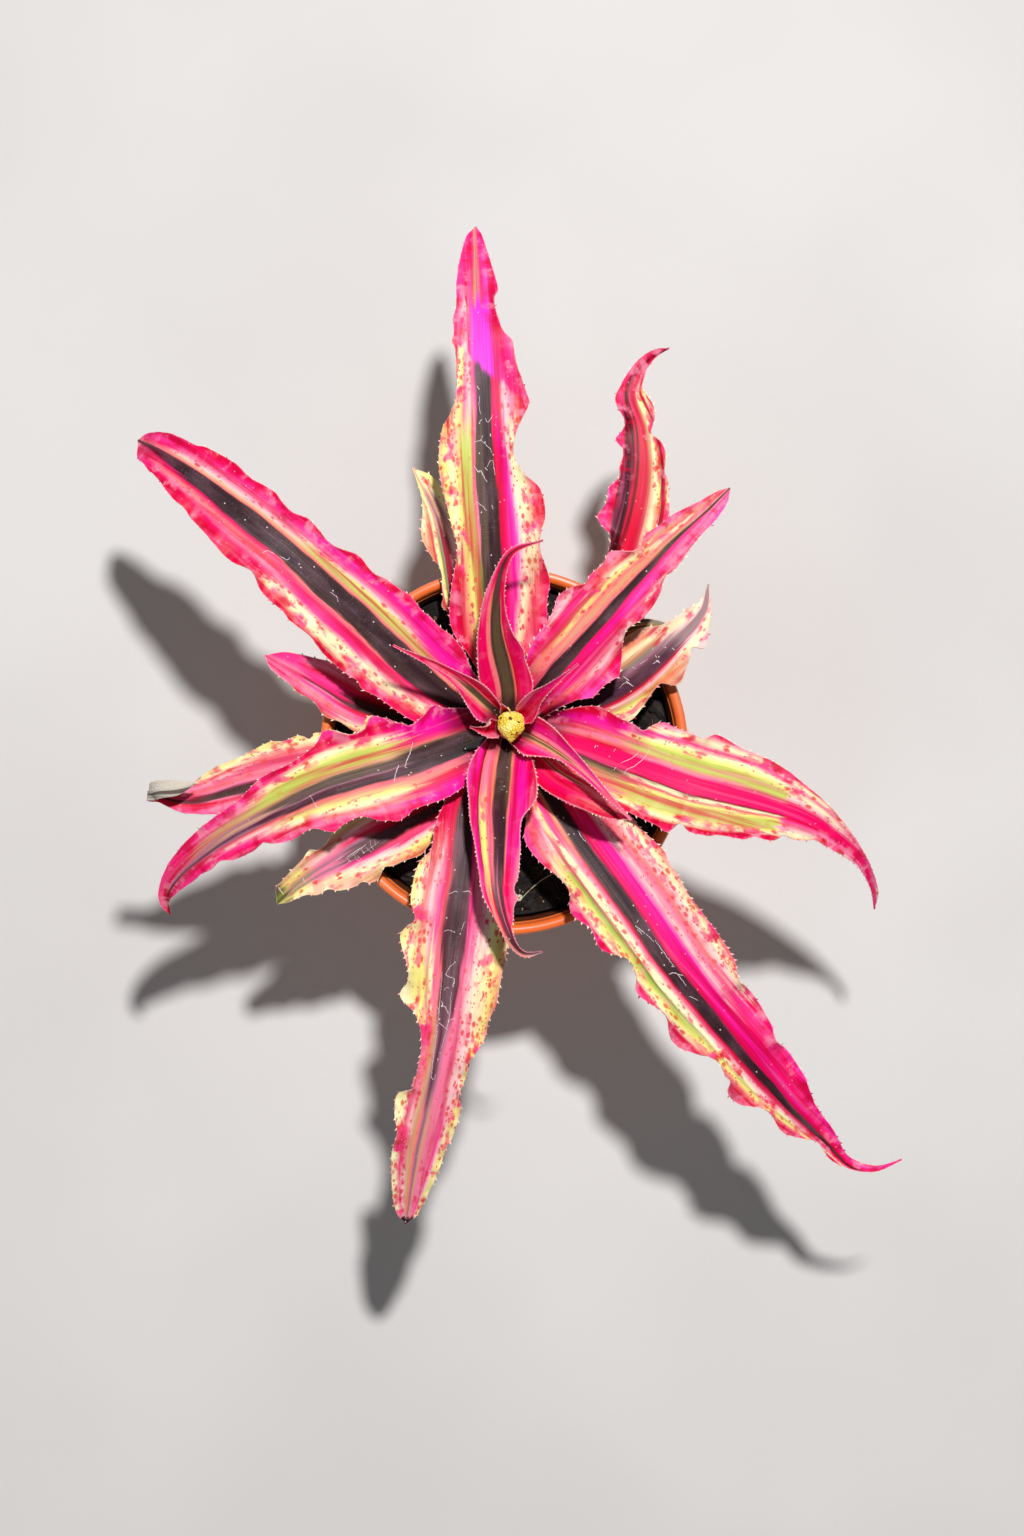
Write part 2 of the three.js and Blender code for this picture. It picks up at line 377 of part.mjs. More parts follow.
function leafGeometry(leaf) {
  const { length, rib, halfWidth, place } = leafSurface(leaf);

  // The blade begins at the stem's skin.
  let base = 0;
  const clearOfStem = (s) => Math.hypot(rib(s).x, rib(s).y) >= stemRadius(rib(s).z) + FIT_GAP;
  while (!clearOfStem(base)) base += BASE_STEP;

  // A short step for each pair of spines, and a longer one between two pairs.
  const spined = length - base - TIP_LENGTH;
  const spines = Math.floor(spined / SPINE_PITCH);
  const pitch = spined / spines;
  const stations = [base];
  for (let i = 0; i < spines; i += 1) {
    const centre = base + (i + SPINE_PLACE) * pitch;
    stations.push(centre - SPINE_BASE / 2, centre + SPINE_BASE / 2);
  }

  const positions = [];
  const add = (point) => {
    positions.push(point.x, point.y, point.z);
    return positions.length / 3 - 1;
  };
  const topPoint = [];
  const top = [];
  const bottom = [];
  for (const s of stations) {
    const topRow = [];
    const bottomRow = [];
    const pointRow = [];
    for (const u of COLUMNS) {
      const point = place(s, u);
      const ahead = place(Math.min(s + SLOPE_STEP, length), u).sub(place(s - SLOPE_STEP, u));
      const over = place(s, Math.min(u + SIDE_STEP, 1)).sub(place(s, Math.max(u - SIDE_STEP, -1)));
      const normal = ahead.cross(over).normalize();
      const slim = THREE.MathUtils.clamp(halfWidth(1, s) / SLIM_WIDTH, SLIM_SHARE, 1);
      const thickness = THREE.MathUtils.lerp(RIB_THICKNESS * slim, EDGE_THICKNESS, Math.abs(u));
      pointRow.push(point);
      topRow.push(add(point));
      bottomRow.push(add(point.clone().addScaledVector(normal, -thickness)));
    }
    topPoint.push(pointRow);
    top.push(topRow);
    bottom.push(bottomRow);
  }
  const tip = add(rib(length));

  const faces = [];
  const corner = (index) => new THREE.Vector3().fromArray(positions, index * 3);
  const edgeFaces = (i, j, outwardColumn, flip) => {
    const loop = [top[i][j], bottom[i][j], bottom[i + 1][j], top[i + 1][j]];
    if (flip) loop.reverse();
    const hasSpine = i % 2 === 1;
    if (!hasSpine) {
      faces.push(loop[0], loop[1], loop[2], loop[0], loop[2], loop[3]);
      return;
    }
    const outward = topPoint[i][j].clone().sub(topPoint[i][outwardColumn]).normalize();
    const forward = corner(top[i + 1][j]).sub(corner(top[i][j])).normalize();
    const middle = new THREE.Vector3();
    loop.forEach((index) => middle.addScaledVector(corner(index), 0.25));
    const share = halfWidth(1, stations[i]) / SLIM_WIDTH;
    const size = SPINE_LENGTH * THREE.MathUtils.clamp(share, SLIM_SHARE, 1);
    const point = add(middle.addScaledVector(outward, size).addScaledVector(forward, SPINE_LEAN * size));
    loop.forEach((index, k) => faces.push(index, loop[(k + 1) % 4], point));
  };
  const lastColumn = COLUMNS.length - 1;
  for (let i = 0; i < stations.length - 1; i += 1) {
    for (let j = 0; j < lastColumn; j += 1) {
      const [a, b, c, d] = [top[i][j], top[i + 1][j], top[i + 1][j + 1], top[i][j + 1]];
      faces.push(a, b, c, a, c, d);
      const [e, f, g, h] = [bottom[i][j], bottom[i + 1][j], bottom[i + 1][j + 1], bottom[i][j + 1]];
      faces.push(e, g, f, e, h, g);
    }
    edgeFaces(i, 0, 1, false);
    edgeFaces(i, lastColumn, lastColumn - 1, true);
  }
  const end = stations.length - 1;
  for (let j = 0; j < lastColumn; j += 1) {
    faces.push(top[0][j], top[0][j + 1], bottom[0][j + 1], top[0][j], bottom[0][j + 1], bottom[0][j]);
    faces.push(top[end][j], tip, top[end][j + 1], bottom[end][j], bottom[end][j + 1], tip);
  }
  faces.push(top[end][0], bottom[end][0], tip, top[end][lastColumn], tip, bottom[end][lastColumn]);

  const geometry = new THREE.BufferGeometry();
  geometry.setAttribute('position', new THREE.Float32BufferAttribute(positions, 3));
  geometry.setIndex(faces);
  return geometry;
}

// ---------------------------------------------------------------- booleans
function toSolid(geometry) {
  const bare = geometry.clone();
  for (const name of Object.keys(bare.attributes)) {
    if (name !== 'position') bare.deleteAttribute(name);
  }
  const merged = mergeVertices(bare, 1e-4);
  return new wasm.Manifold(new wasm.Mesh({
    numProp: 3,
    vertProperties: new Float32Array(merged.attributes.position.array),
    triVerts: new Uint32Array(merged.index.array),
  }));
}

function toGeometry(solid) {
  const mesh = solid.getMesh();
  const geometry = new THREE.BufferGeometry();
  geometry.setAttribute('position', new THREE.BufferAttribute(mesh.vertProperties, 3));
  geometry.setIndex(new THREE.BufferAttribute(mesh.triVerts, 1));
  return geometry;
}

function upright(radius, from, to, x, y, sides) {
  const geometry = new THREE.CylinderGeometry(radius, radius, to - from, sides);
  geometry.rotateX(Math.PI / 2);
  geometry.translate(x, y, (from + to) / 2);
  return geometry;
}

// A lathe turns about Y, so its profile of [radius, height] is stood up on Z afterwards.
function turned(profile, sides) {
  const geometry = new THREE.LatheGeometry(profile.map(([r, z]) => new THREE.Vector2(r, z)), sides);
  geometry.rotateX(Math.PI / 2);
  return geometry;
}

// ---------------------------------------------------------------- pot
const innerFootRadius = POT_FOOT_RADIUS - POT_WALL;
const collarBottom = POT_HEIGHT - RIM_COLLAR_DEPTH;
const collarRadius = POT_RIM_RADIUS - RIM_LIP_WIDTH + POT_WALL;
const bodyTopRadius = collarRadius - 2;
const mouthRadius = POT_RIM_RADIUS - RIM_LIP_WIDTH;

function potGeometry() {
  const profile = [
    [0, 0], [POT_FOOT_RADIUS - 1, 0], [POT_FOOT_RADIUS, 1],
    [bodyTopRadius, collarBottom - 1],
    [collarRadius, collarBottom],
    [collarRadius + 0.6, POT_HEIGHT - 3.2],
    [POT_RIM_RADIUS - 0.4, POT_HEIGHT - 2.6],
    [POT_RIM_RADIUS, POT_HEIGHT - 1.4],
    [POT_RIM_RADIUS - 0.7, POT_HEIGHT - 0.4],
    [POT_RIM_RADIUS - RIM_LIP_WIDTH / 2, POT_HEIGHT],
    [mouthRadius + 0.5, POT_HEIGHT - 0.5],
    [mouthRadius, POT_HEIGHT - 1.6],
    [bodyTopRadius - POT_WALL, collarBottom - 1],
    [innerFootRadius, FLOOR_THICKNESS],
    [0, FLOOR_THICKNESS],
  ];
  let solid = toSolid(turned(profile, POT_SIDES));
  for (let i = 0; i < DRAIN_HOLES; i += 1) {
    const angle = (2 * Math.PI * i) / DRAIN_HOLES;
    const x = DRAIN_CIRCLE_RADIUS * Math.cos(angle);
    const y = DRAIN_CIRCLE_RADIUS * Math.sin(angle);
    solid = solid.subtract(toSolid(upright(DRAIN_HOLE_RADIUS, -1, FLOOR_THICKNESS + 1, x, y, 16)));
  }
  return toGeometry(solid);
}

// ---------------------------------------------------------------- soil
function soilGeometry() {
  const shoulder = collarBottom - 1;
  const wallClearance = FIT_GAP + 0.2;
  const wallRadius = (z) => THREE.MathUtils.mapLinear(
    z, FLOOR_THICKNESS, shoulder, innerFootRadius, bodyTopRadius - POT_WALL) - wallClearance;
  const bottom = FLOOR_THICKNESS + FIT_GAP;
  const topRadius = wallRadius(shoulder);
  const profile = [[0, bottom], [wallRadius(bottom), bottom], [topRadius, shoulder], [topRadius, SOIL_TOP]];
  for (let i = 1; i < SOIL_RINGS; i += 1) {
    profile.push([topRadius * (1 - i / SOIL_RINGS), SOIL_TOP]);
  }
  profile.push([0, SOIL_TOP]);
  const geometry = turned(profile, POT_SIDES);
  const position = geometry.attributes.position;
  for (let i = 0; i < position.count; i += 1) {
    const x = position.getX(i);
    const y = position.getY(i);
    const isTop = position.getZ(i) > SOIL_TOP - 0.01;
    if (isTop && Math.hypot(x, y) < topRadius - 0.5) {
      const bump = Math.sin(x * 0.31 + 1) * Math.cos(y * 0.27) + 0.6 * Math.sin(x * 0.83 + y * 0.71);
      position.setZ(i, SOIL_TOP + SOIL_BUMP * bump);
    }
  }
  const hole = upright(STEM_RADIUS_LOW + FIT_GAP, STEM_BOTTOM - FIT_GAP, SOIL_TOP + 9, ...PLANT_AXIS, 20);
  return toGeometry(toSolid(geometry).subtract(toSolid(hole)));
}

// ---------------------------------------------------------------- stem and flower head
function stemGeometry() {
  const profile = [
    [0, STEM_BOTTOM], [STEM_RADIUS_LOW - 0.8, STEM_BOTTOM], [STEM_RADIUS_LOW, STEM_BOTTOM + 1],
    [stemRadius(STEM_TAPER_START), STEM_TAPER_START],
    [STEM_RADIUS_HIGH, STEM_TOP - 0.4], [STEM_RADIUS_HIGH - 0.6, STEM_TOP], [0, STEM_TOP],
  ];
  return turned(profile, 20);
}

function flowerGeometry() {
  const core = new THREE.SphereGeometry(FLOWER_CORE_RADIUS, 12, 8);
  core.rotateX(Math.PI / 2);
  let solid = toSolid(core.translate(0, 0, FLOWER_CENTRE_HEIGHT));
  const goldenAngle = Math.PI * (3 - Math.sqrt(5));
  for (let i = 0; i < FLOWER_BUDS; i += 1) {
    const height = 1 - (FLOWER_COVER * (i + 0.3)) / FLOWER_BUDS;
    const spread = Math.sqrt(1 - height * height);
    const bud = new THREE.SphereGeometry(FLOWER_BUD_RADIUS, 7, 5);
    bud.translate(
      FLOWER_CORE_RADIUS * spread * Math.cos(i * goldenAngle),
      FLOWER_CORE_RADIUS * spread * Math.sin(i * goldenAngle),
      FLOWER_CENTRE_HEIGHT + FLOWER_CORE_RADIUS * height,
    );
    solid = solid.add(toSolid(bud));
  }
  return toGeometry(solid);
}

// ---------------------------------------------------------------- the object
function piece(name, geometry, colour, roughness) {
  const material = new THREE.MeshStandardMaterial({ color: colour, roughness, metalness: 0 });
  const mesh = new THREE.Mesh(geometry, material);
  mesh.name = name;
  return mesh;
}

const group = new THREE.Group();
group.add(piece('pot', potGeometry(), 0xc8622f, 0.45));
group.add(piece('soil', soilGeometry(), 0x1d1612, 0.95));

const plant = new THREE.Group();
plant.position.set(...PLANT_AXIS, 0);
plant.add(piece('stem', stemGeometry(), 0x6d7a3a, 0.7));
for (const leaf of LEAVES) {
  plant.add(piece(leaf.name, leafGeometry(leaf), leaf.colour, 0.4));
}
plant.add(piece('flower_head', flowerGeometry(), 0xe6dc8a, 0.6));
group.add(plant);

export default group;
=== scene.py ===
# %% [markdown]
# # An earth star bromeliad in its pot
# The plant is a flat rosette of stiff, striped leaves on a very short stem, rooted in a plastic pot.
# Its solids come packed from CAD, and they fix every size and place. This notebook gives each of
# them its real skin: finer blades with small teeth, painted stripes, peat, buds and moulded plastic.
# Everything is in metres, but the tables are in millimetres, because leaves are measured that way.

import math
import random
from functools import partial, reduce

import bpy
import numpy as np
from mathutils import Euler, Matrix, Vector, noise


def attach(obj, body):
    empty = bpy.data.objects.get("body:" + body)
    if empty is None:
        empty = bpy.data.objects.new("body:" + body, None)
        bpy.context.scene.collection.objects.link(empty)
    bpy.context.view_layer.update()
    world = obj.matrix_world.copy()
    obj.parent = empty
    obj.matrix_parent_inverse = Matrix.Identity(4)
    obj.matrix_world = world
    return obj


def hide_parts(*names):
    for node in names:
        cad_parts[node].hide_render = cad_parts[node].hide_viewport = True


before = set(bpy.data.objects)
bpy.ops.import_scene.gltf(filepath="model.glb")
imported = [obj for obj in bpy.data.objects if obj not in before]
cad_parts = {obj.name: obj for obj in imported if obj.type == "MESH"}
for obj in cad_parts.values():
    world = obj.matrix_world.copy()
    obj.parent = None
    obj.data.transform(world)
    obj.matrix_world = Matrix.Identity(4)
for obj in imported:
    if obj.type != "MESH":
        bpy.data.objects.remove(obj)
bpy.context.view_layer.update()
MM = 0.001
random.seed(11)
print("solids loaded:", len(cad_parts))

# %% [markdown]
# ## The camera and the light
# The plant is looked at from straight above, as growers show a rosette. A long lens high up keeps
# the leaves that droop from shrinking much. A frame's long side is upright here, and Blender's sensor
# width belongs to the long side, so the lens follows from the height that has to fit.

# %% Camera straight above the rim
CAMERA_X, CAMERA_Y = 2.6, -5.5
RIM_HEIGHT = 100
CAMERA_ABOVE_RIM = 1400
HALF_VIEW_AT_RIM = 249.8
SENSOR = 36.0

bpy.ops.object.select_all(action="DESELECT")
bpy.ops.object.camera_add(location=(CAMERA_X * MM, CAMERA_Y * MM, (RIM_HEIGHT + CAMERA_ABOVE_RIM) * MM))
camera = bpy.context.object
camera.name = "camera_above"
camera.data.sensor_width = SENSOR
camera.data.lens = SENSOR / 2 * CAMERA_ABOVE_RIM / HALF_VIEW_AT_RIM
bpy.context.scene.camera = camera
print("lens:", round(camera.data.lens, 1), "mm")

# %% [markdown]
# One main lamp stands high and a little behind, so that leaves cast short, fairly crisp shadows on
# the leaves below them. A broad weak lamp and a pale sky fill the shadows. The picture is developed
# without film tones, because the plant's pinks are near the edge of what a screen can show.

# %% Lamps, sky and floor
def lamp(name, place, aim, size, power, tint):
    bpy.ops.object.light_add(type="AREA", location=place)
    light = bpy.context.object
    light.name = name
    light.data.shape = "DISK"
    light.data.size = size
    light.data.energy = power
    light.data.color = tint
    light.rotation_euler = (Vector(aim) - Vector(place)).to_track_quat("-Z", "Y").to_euler()


ROSETTE = (0, 0, 0.11)
lamp("main_lamp", (0.2, 0.66, 1.8), ROSETTE, 0.12, 37.5, (1.0, 0.98, 0.975))
lamp("fill_lamp", (-1.3, -0.9, 1.2), ROSETTE, 1.4, 2.4, (0.95, 0.97, 1.0))
lamp("side_lamp", (1.2, -1.4, 0.8), ROSETTE, 1.2, 1.6, (1.0, 0.98, 0.95))

sky = bpy.data.worlds.new("pale_sky")
sky.use_nodes = True
background = sky.node_tree.nodes["Background"].inputs
background["Color"].default_value = (0.92, 0.94, 1.0, 1)
background["Strength"].default_value = 0.11
bpy.context.scene.world = sky
bpy.context.scene.view_settings.view_transform = "Standard"

bpy.ops.mesh.primitive_plane_add(size=8, location=(0, 0, -0.0002))
floor = bpy.context.object
floor.name = "floor"

# %% [markdown]
# ## Short words for materials
# A material is a board of small nodes wired together. Short words keep the wiring readable: one adds
# a node and plugs in its inputs, others do arithmetic, noise and mixing. Groups put out only colours,
# masks and heights. The shader itself stays in each material, with its plain numbers set straight on
# its sockets.

# %% Helpers that wire nodes
class Board:
    """A node tree, with short words to add nodes and wire them."""

    def __init__(self, tree):
        self.tree = tree

    def plug(self, value, socket):
        """Wires one socket to another, or sets a plain value on it."""
        if isinstance(value, bpy.types.NodeSocket):
            self.tree.links.new(value, socket)
        else:
            socket.default_value = value

    def add(self, kind, inputs=None, **settings):
        made = self.tree.nodes.new("ShaderNode" + kind)
        for key, value in settings.items():
            setattr(made, key, value)
        for key, value in (inputs or {}).items():
            self.plug(value, made.inputs[key])
        return made

    def maths(self, operation, first, second=0.0, third=0.0):
        return self.add("Math", {0: first, 1: second, 2: third}, operation=operation).outputs[0]

    def times(self, *values):
        return reduce(partial(self.maths, "MULTIPLY"), values)

    def plus(self, *values):
        return reduce(partial(self.maths, "ADD"), values)

    def most(self, *values):
        return reduce(partial(self.maths, "MAXIMUM"), values)

    def scaled(self, value, factor, shift):
        return self.maths("MULTIPLY_ADD", value, factor, shift)

    def ramp(self, value, low, high, to_low=0.0, to_high=1.0):
        """Turns values from low to high into a soft step."""
        made = self.add("MapRange", {"Value": value, "From Min": low, "From Max": high,
                                     "To Min": to_low, "To Max": to_high}, interpolation_type="SMOOTHSTEP")
        return made.outputs["Result"]

    def noise(self, place, scale, detail=2.0, roughness=0.5, flat=False):
        made = self.add("TexNoise", {"Vector": place, "Scale": scale, "Detail": detail,
                                     "Roughness": roughness}, noise_dimensions="2D" if flat else "3D")
        return made.outputs["Fac"]

    def stretch(self, place, scale):
        return self.add("Mapping", {"Vector": place, "Scale": scale}).outputs["Vector"]

    def grain(self, place, scale, detail=2.0, roughness=0.5):
        """Flat noise with a scale of its own each way, such as streaks along a leaf."""
        return self.noise(self.stretch(place, scale), 1.0, detail, roughness, flat=True)

    def cells(self, place, scale):
        """Scattered cells: the distance to a cell's middle, and three random numbers for the cell."""
        found = self.add("TexVoronoi", {"Vector": self.stretch(place, scale), "Scale": 1.0,
                                        "Randomness": 0.9}, voronoi_dimensions="2D")
        return found.outputs["Distance"], self.add("SeparateColor", {0: found.outputs["Color"]}).outputs

    def mix(self, share, first, second, blend="MIX"):
        made = self.add("Mix", {"Factor": share, 6: first, 7: second}, data_type="RGBA", blend_type=blend)
        return made.outputs[2]

    def blend_number(self, share, first, second):
        return self.add("Mix", {"Factor": share, 2: first, 3: second}, data_type="FLOAT").outputs[0]

    def stops(self, value, stops, step="LINEAR"):
        """A ramp through (place, colour) stops; it gives the colour and its fourth number."""
        made = self.add("ValToRGB", {"Fac": value})
        made.color_ramp.interpolation = step
        elements = made.color_ramp.elements
        for index, (position, _) in enumerate(stops):
            stop = elements[index] if index < 2 else elements.new(position)
            stop.position = position
        for stop, (_, paint) in zip(elements, stops):
            stop.color = paint
        return made.outputs["Color"], made.outputs["Alpha"]

    def object_place(self):
        return self.add("TexCoord").outputs["Object"]

    def map_place(self, name):
        return self.add("UVMap", uv_map=name).outputs[0]

    def attribute(self, name):
        return self.add("Attribute", attribute_name=name).outputs["Fac"]

    def shared(self, name, inputs):
        """Places a shared group, with this material's own values."""
        return self.add("Group", inputs, node_tree=bpy.data.node_groups[name]).outputs

    def dress(self, paint, roughness, relief=None):
        """Gives the material's shader its paint, roughness and relief: height, strength, depth."""
        sockets = self.tree.nodes["Principled BSDF"].inputs
        self.plug(paint, sockets["Base Color"])
        self.plug(roughness, sockets["Roughness"])
        if relief:
            height, strength, depth = relief
            bump = self.add("Bump", {"Height": height, "Strength": strength, "Distance": depth})
            self.plug(bump.outputs[0], sockets["Normal"])
        return sockets


def colour(red, green, blue):
    """A screen colour from 0 to 255, as the light that Blender counts in."""
    linear = [v / 12.92 if v <= 0.04045 else ((v + 0.055) / 1.055) ** 2.4
              for v in (red / 255, green / 255, blue / 255)]
    return (*linear, 1.0)


def new_group(name, inputs, outputs):
    """Starts a shared node group; inputs and outputs are {socket name: kind}."""
    tree = bpy.data.node_groups.new(name, "ShaderNodeTree")
    for sockets, way in ((inputs, "INPUT"), (outputs, "OUTPUT")):
        for label, kind in sockets.items():
            tree.interface.new_socket(label, in_out=way, socket_type="NodeSocket" + kind)
    return Board(tree), tree.nodes.new("NodeGroupInput").outputs, tree.nodes.new("NodeGroupOutput").inputs


def new_material(name):
    material = bpy.data.materials.new(name)
    material.use_nodes = True
    return material, Board(material.node_tree)


print("words for nodes:", [word for word in vars(Board) if not word.startswith("_")])

# %% [markdown]
# ## What marks the leaves
# Seen close, a leaf's stripes are made of fine lengthwise streaks, the pale stripes carry rows of
# red freckles, the dark band keeps flecks of white scurf, and the very edge is pale. These marks are
# one group that every leaf shares. "Marks" comes from the stripe colours themselves: near 1 on pale
# stripes that freckle, one half on plain pink, and 0 on the dark band. Scales are counted along and
# across the leaf, per 100 mm.

# %% Shared group: leaf marks
board, given, out = new_group(
    "leaf_marks",
    {"Colour": "Color", "Marks": "Float", "Place": "Vector", "Edge": "Float", "Freckles": "Float",
     "Scurf": "Float", "Seam": "Float", "Bars": "Float", "Edge Colour": "Color"},
    {"Colour": "Color", "Scurf": "Float", "Height": "Float"})
place, marks, edge = given["Place"], given["Marks"], given["Edge"]
pale = board.ramp(marks, 0.62, 0.95)
dark = board.ramp(marks, 0.4, 0.12)
pink = board.times(board.ramp(marks, 0.34, 0.46), board.ramp(marks, 0.85, 0.6))
streaks = board.grain(place, (1.6, 95, 1), 4.0, 0.62)
soft_streaks = board.grain(place, (1.1, 30, 1), 3.0, 0.6)
shade = board.plus(board.scaled(streaks, 0.22, 0.76), board.scaled(soft_streaks, 0.36, -0.04))
grey = board.add("CombineColor", {0: shade, 1: shade, 2: shade}).outputs[0]
streaked = board.mix(1.0, given["Colour"], grey, "MULTIPLY")

# Pink stripes are woven of paler and deeper threads.
deep_threads = board.times(board.ramp(soft_streaks, 0.5, 0.3, 0.0, 0.75), pink)
deep = board.mix(deep_threads, streaked, colour(214, 0, 74))
pale_threads = board.times(board.ramp(board.grain(place, (1.8, 44, 1)), 0.5, 0.8, 0.0, 0.36), pink)
woven = board.mix(pale_threads, deep, colour(255, 132, 186))

# Near the edge the colours break up into short bars that run across the blade.
near_edge = board.times(board.ramp(edge, 5.5, 1.5), given["Bars"])
bars = board.grain(place, (19, 15, 1), 3.0, 0.55)
paled = board.mix(board.times(board.ramp(bars, 0.52, 0.7, 0.0, 0.7), near_edge, pink), woven,
                  colour(255, 160, 184))
barred = board.mix(board.times(board.ramp(bars, 0.48, 0.32, 0.0, 0.7), near_edge, pink), paled,
                   colour(214, 0, 62))

# Soft rosy clouds spread in the pale stripes, and freckles with ragged outlines sit in rows.
clouds = board.grain(place, (13, 30, 1), 3.0, 0.6)
blushed = board.mix(board.times(board.ramp(clouds, 0.52, 0.68, 0.0, 0.8), pale), barred,
                    colour(246, 84, 136))
rough_edge = board.add("TexNoise", {"Vector": place, "Scale": 160.0, "Detail": 2.0}).outputs["Color"]
shift = board.add("VectorMath", {0: rough_edge, 1: (0.010, 0.006, 0.0)}, operation="MULTIPLY").outputs[0]
ragged = board.add("VectorMath", {0: place, 1: shift}, operation="ADD").outputs[0]
patches = board.ramp(board.grain(place, (9, 17, 1)), 0.36, 0.62, 0.3, 1.15)
wanted = board.times(patches, given["Freckles"], board.ramp(edge, 9.0, 2.0, 0.55, 1.25))
distance, chance = board.cells(ragged, (36, 62, 1))
spread = board.maths("SUBTRACT", board.scaled(chance[1], 0.28, 0.18), distance)
freckle = board.times(board.ramp(spread, -0.12, 0.2), board.maths("LESS_THAN", chance[0], wanted))
small_distance, small_chance = board.cells(ragged, (75, 115, 1))
small = board.times(board.ramp(small_distance, 0.4, 0.14),
                    board.maths("LESS_THAN", small_chance[0], board.times(wanted, 0.35)))
both = board.times(board.most(freckle, small), board.ramp(marks, 0.5, 0.8))
rustier = board.plus(chance[2], board.ramp(edge, 7.0, 1.0, 0.0, 0.5))
freckle_colour = board.mix(board.ramp(rustier, 0.55, 0.95), colour(228, 34, 84), colour(226, 84, 52))
freckled = board.mix(board.times(both, 0.8), blushed, freckle_colour)

# Here and there the margin flushes hot pink all the way across the pale stripe.
flush = board.times(board.ramp(board.grain(place, (8, 9, 1), 3.0, 0.6), 0.52, 0.62),
                    board.ramp(edge, 8.0, 1.5, 0.0, 0.88), given["Bars"], board.ramp(marks, 0.56, 0.72))
flush_colour = board.mix(board.ramp(board.grain(place, (15, 13, 1)), 0.42, 0.6),
                         colour(255, 52, 140), colour(222, 0, 60))
flushed = board.mix(flush, freckled, flush_colour)

# The dark band is veiled by thin silvery scales, in patches and in faint bars across it.
tint = board.times(board.ramp(board.grain(place, (1.3, 30, 1)), 0.45, 0.62, 0.0, 0.4), dark)
tinted = board.mix(tint, flushed, colour(84, 62, 52))
veil = board.times(board.ramp(board.grain(place, (4.5, 15, 1), 4.0, 0.6), 0.42, 0.74, 0.0, 0.3), dark)
veiled = board.mix(veil, tinted, colour(150, 116, 128))
speckle = board.times(board.ramp(board.grain(place, (240, 420, 1), 1.0), 0.45, 0.8),
                      board.ramp(board.grain(place, (7, 15, 1)), 0.42, 0.64, 0.02, 0.09))
cross = board.times(board.ramp(board.grain(place, (260, 40, 1)), 0.56, 0.74),
                    board.ramp(board.grain(place, (8, 12, 1)), 0.5, 0.65, 0.0, 0.12))
crossed = board.mix(board.times(board.most(speckle, cross), dark), veiled, colour(206, 192, 198))

# Scurf: a few loose flecks of the white scales.
fleck_distance, fleck_chance = board.cells(place, (95, 120, 1))
scurf = board.times(board.ramp(fleck_distance, 0.34, 0.18), board.maths("LESS_THAN", fleck_chance[2], 0.012),
                    board.ramp(dark, 0.0, 1.0, 0.4, 1.0), given["Scurf"])
scurfed = board.mix(board.times(scurf, 0.8), crossed, colour(236, 226, 222))

# The last quarter of a millimetre of the edge is a pale seam. A gamma above 1 deepens it all.
seam = board.times(board.ramp(edge, 0.26, 0.04), given["Seam"])
edged = board.mix(seam, scurfed, given["Edge Colour"])
board.plug(board.add("Gamma", {"Color": edged, "Gamma": 1.13}).outputs[0], out["Colour"])
board.plug(scurf, out["Scurf"])
board.plug(board.plus(board.times(streaks, 0.8), board.times(scurf, 0.5)), out["Height"])
print("group:", board.tree.name, len(board.tree.nodes), "nodes")

# %% [markdown]
# ## The stripes
# Each leaf is painted by a recipe. A recipe line is a share of the leaf's length where it starts, how
# softly it takes over, and the stripes there: places across the blade, from -1.3 beyond the right edge
# through 0 at the midrib to 1.3 beyond the left, each with the name of a colour. Stripes keep their
# place from the midrib while the edges wave, so a lobe shows the outermost stripe. The fourth number
# of a colour is its marks.

# %% Paints, by name
PAINTS = {
    "hotpink": (250, 4, 110, 0.5), "magenta": (250, 26, 164, 0.5), "orchid": (250, 84, 190, 0.5),
    "violet": (240, 58, 216, 0.5), "pink": (254, 64, 150, 0.52), "rose": (252, 138, 170, 0.66),
    "blush": (255, 208, 206, 0.82), "crimson": (218, 2, 62, 0.5), "maroon": (112, 2, 30, 0.42),
    "cream": (255, 246, 198, 1.0), "butter": (248, 234, 142, 0.95), "salmon": (250, 134, 132, 0.68),
    "orange": (240, 140, 108, 0.6), "tan": (218, 172, 126, 0.5), "ochre": (216, 164, 82, 0.6),
    "green": (204, 214, 108, 0.6), "leafgreen": (132, 144, 62, 0.4), "olive": (106, 92, 62, 0.2),
    "dark": (60, 34, 42, 0.0), "bark": (72, 50, 38, 0.05), "plum": (100, 36, 58, 0.15),
    "mauve": (176, 124, 146, 0.3), "grey": (156, 148, 132, 0.3), "ink": (40, 18, 28, 0.0),
    "wine": (82, 22, 46, 0.08), "moss": (104, 88, 72, 0.05), "ash": (128, 96, 106, 0.05),
    "grape": (84, 44, 70, 0.05), "oxblood": (70, 6, 20, 0.42),
}

# %% [markdown]
# The recipes, from the long outer leaves to the small ones at the heart.

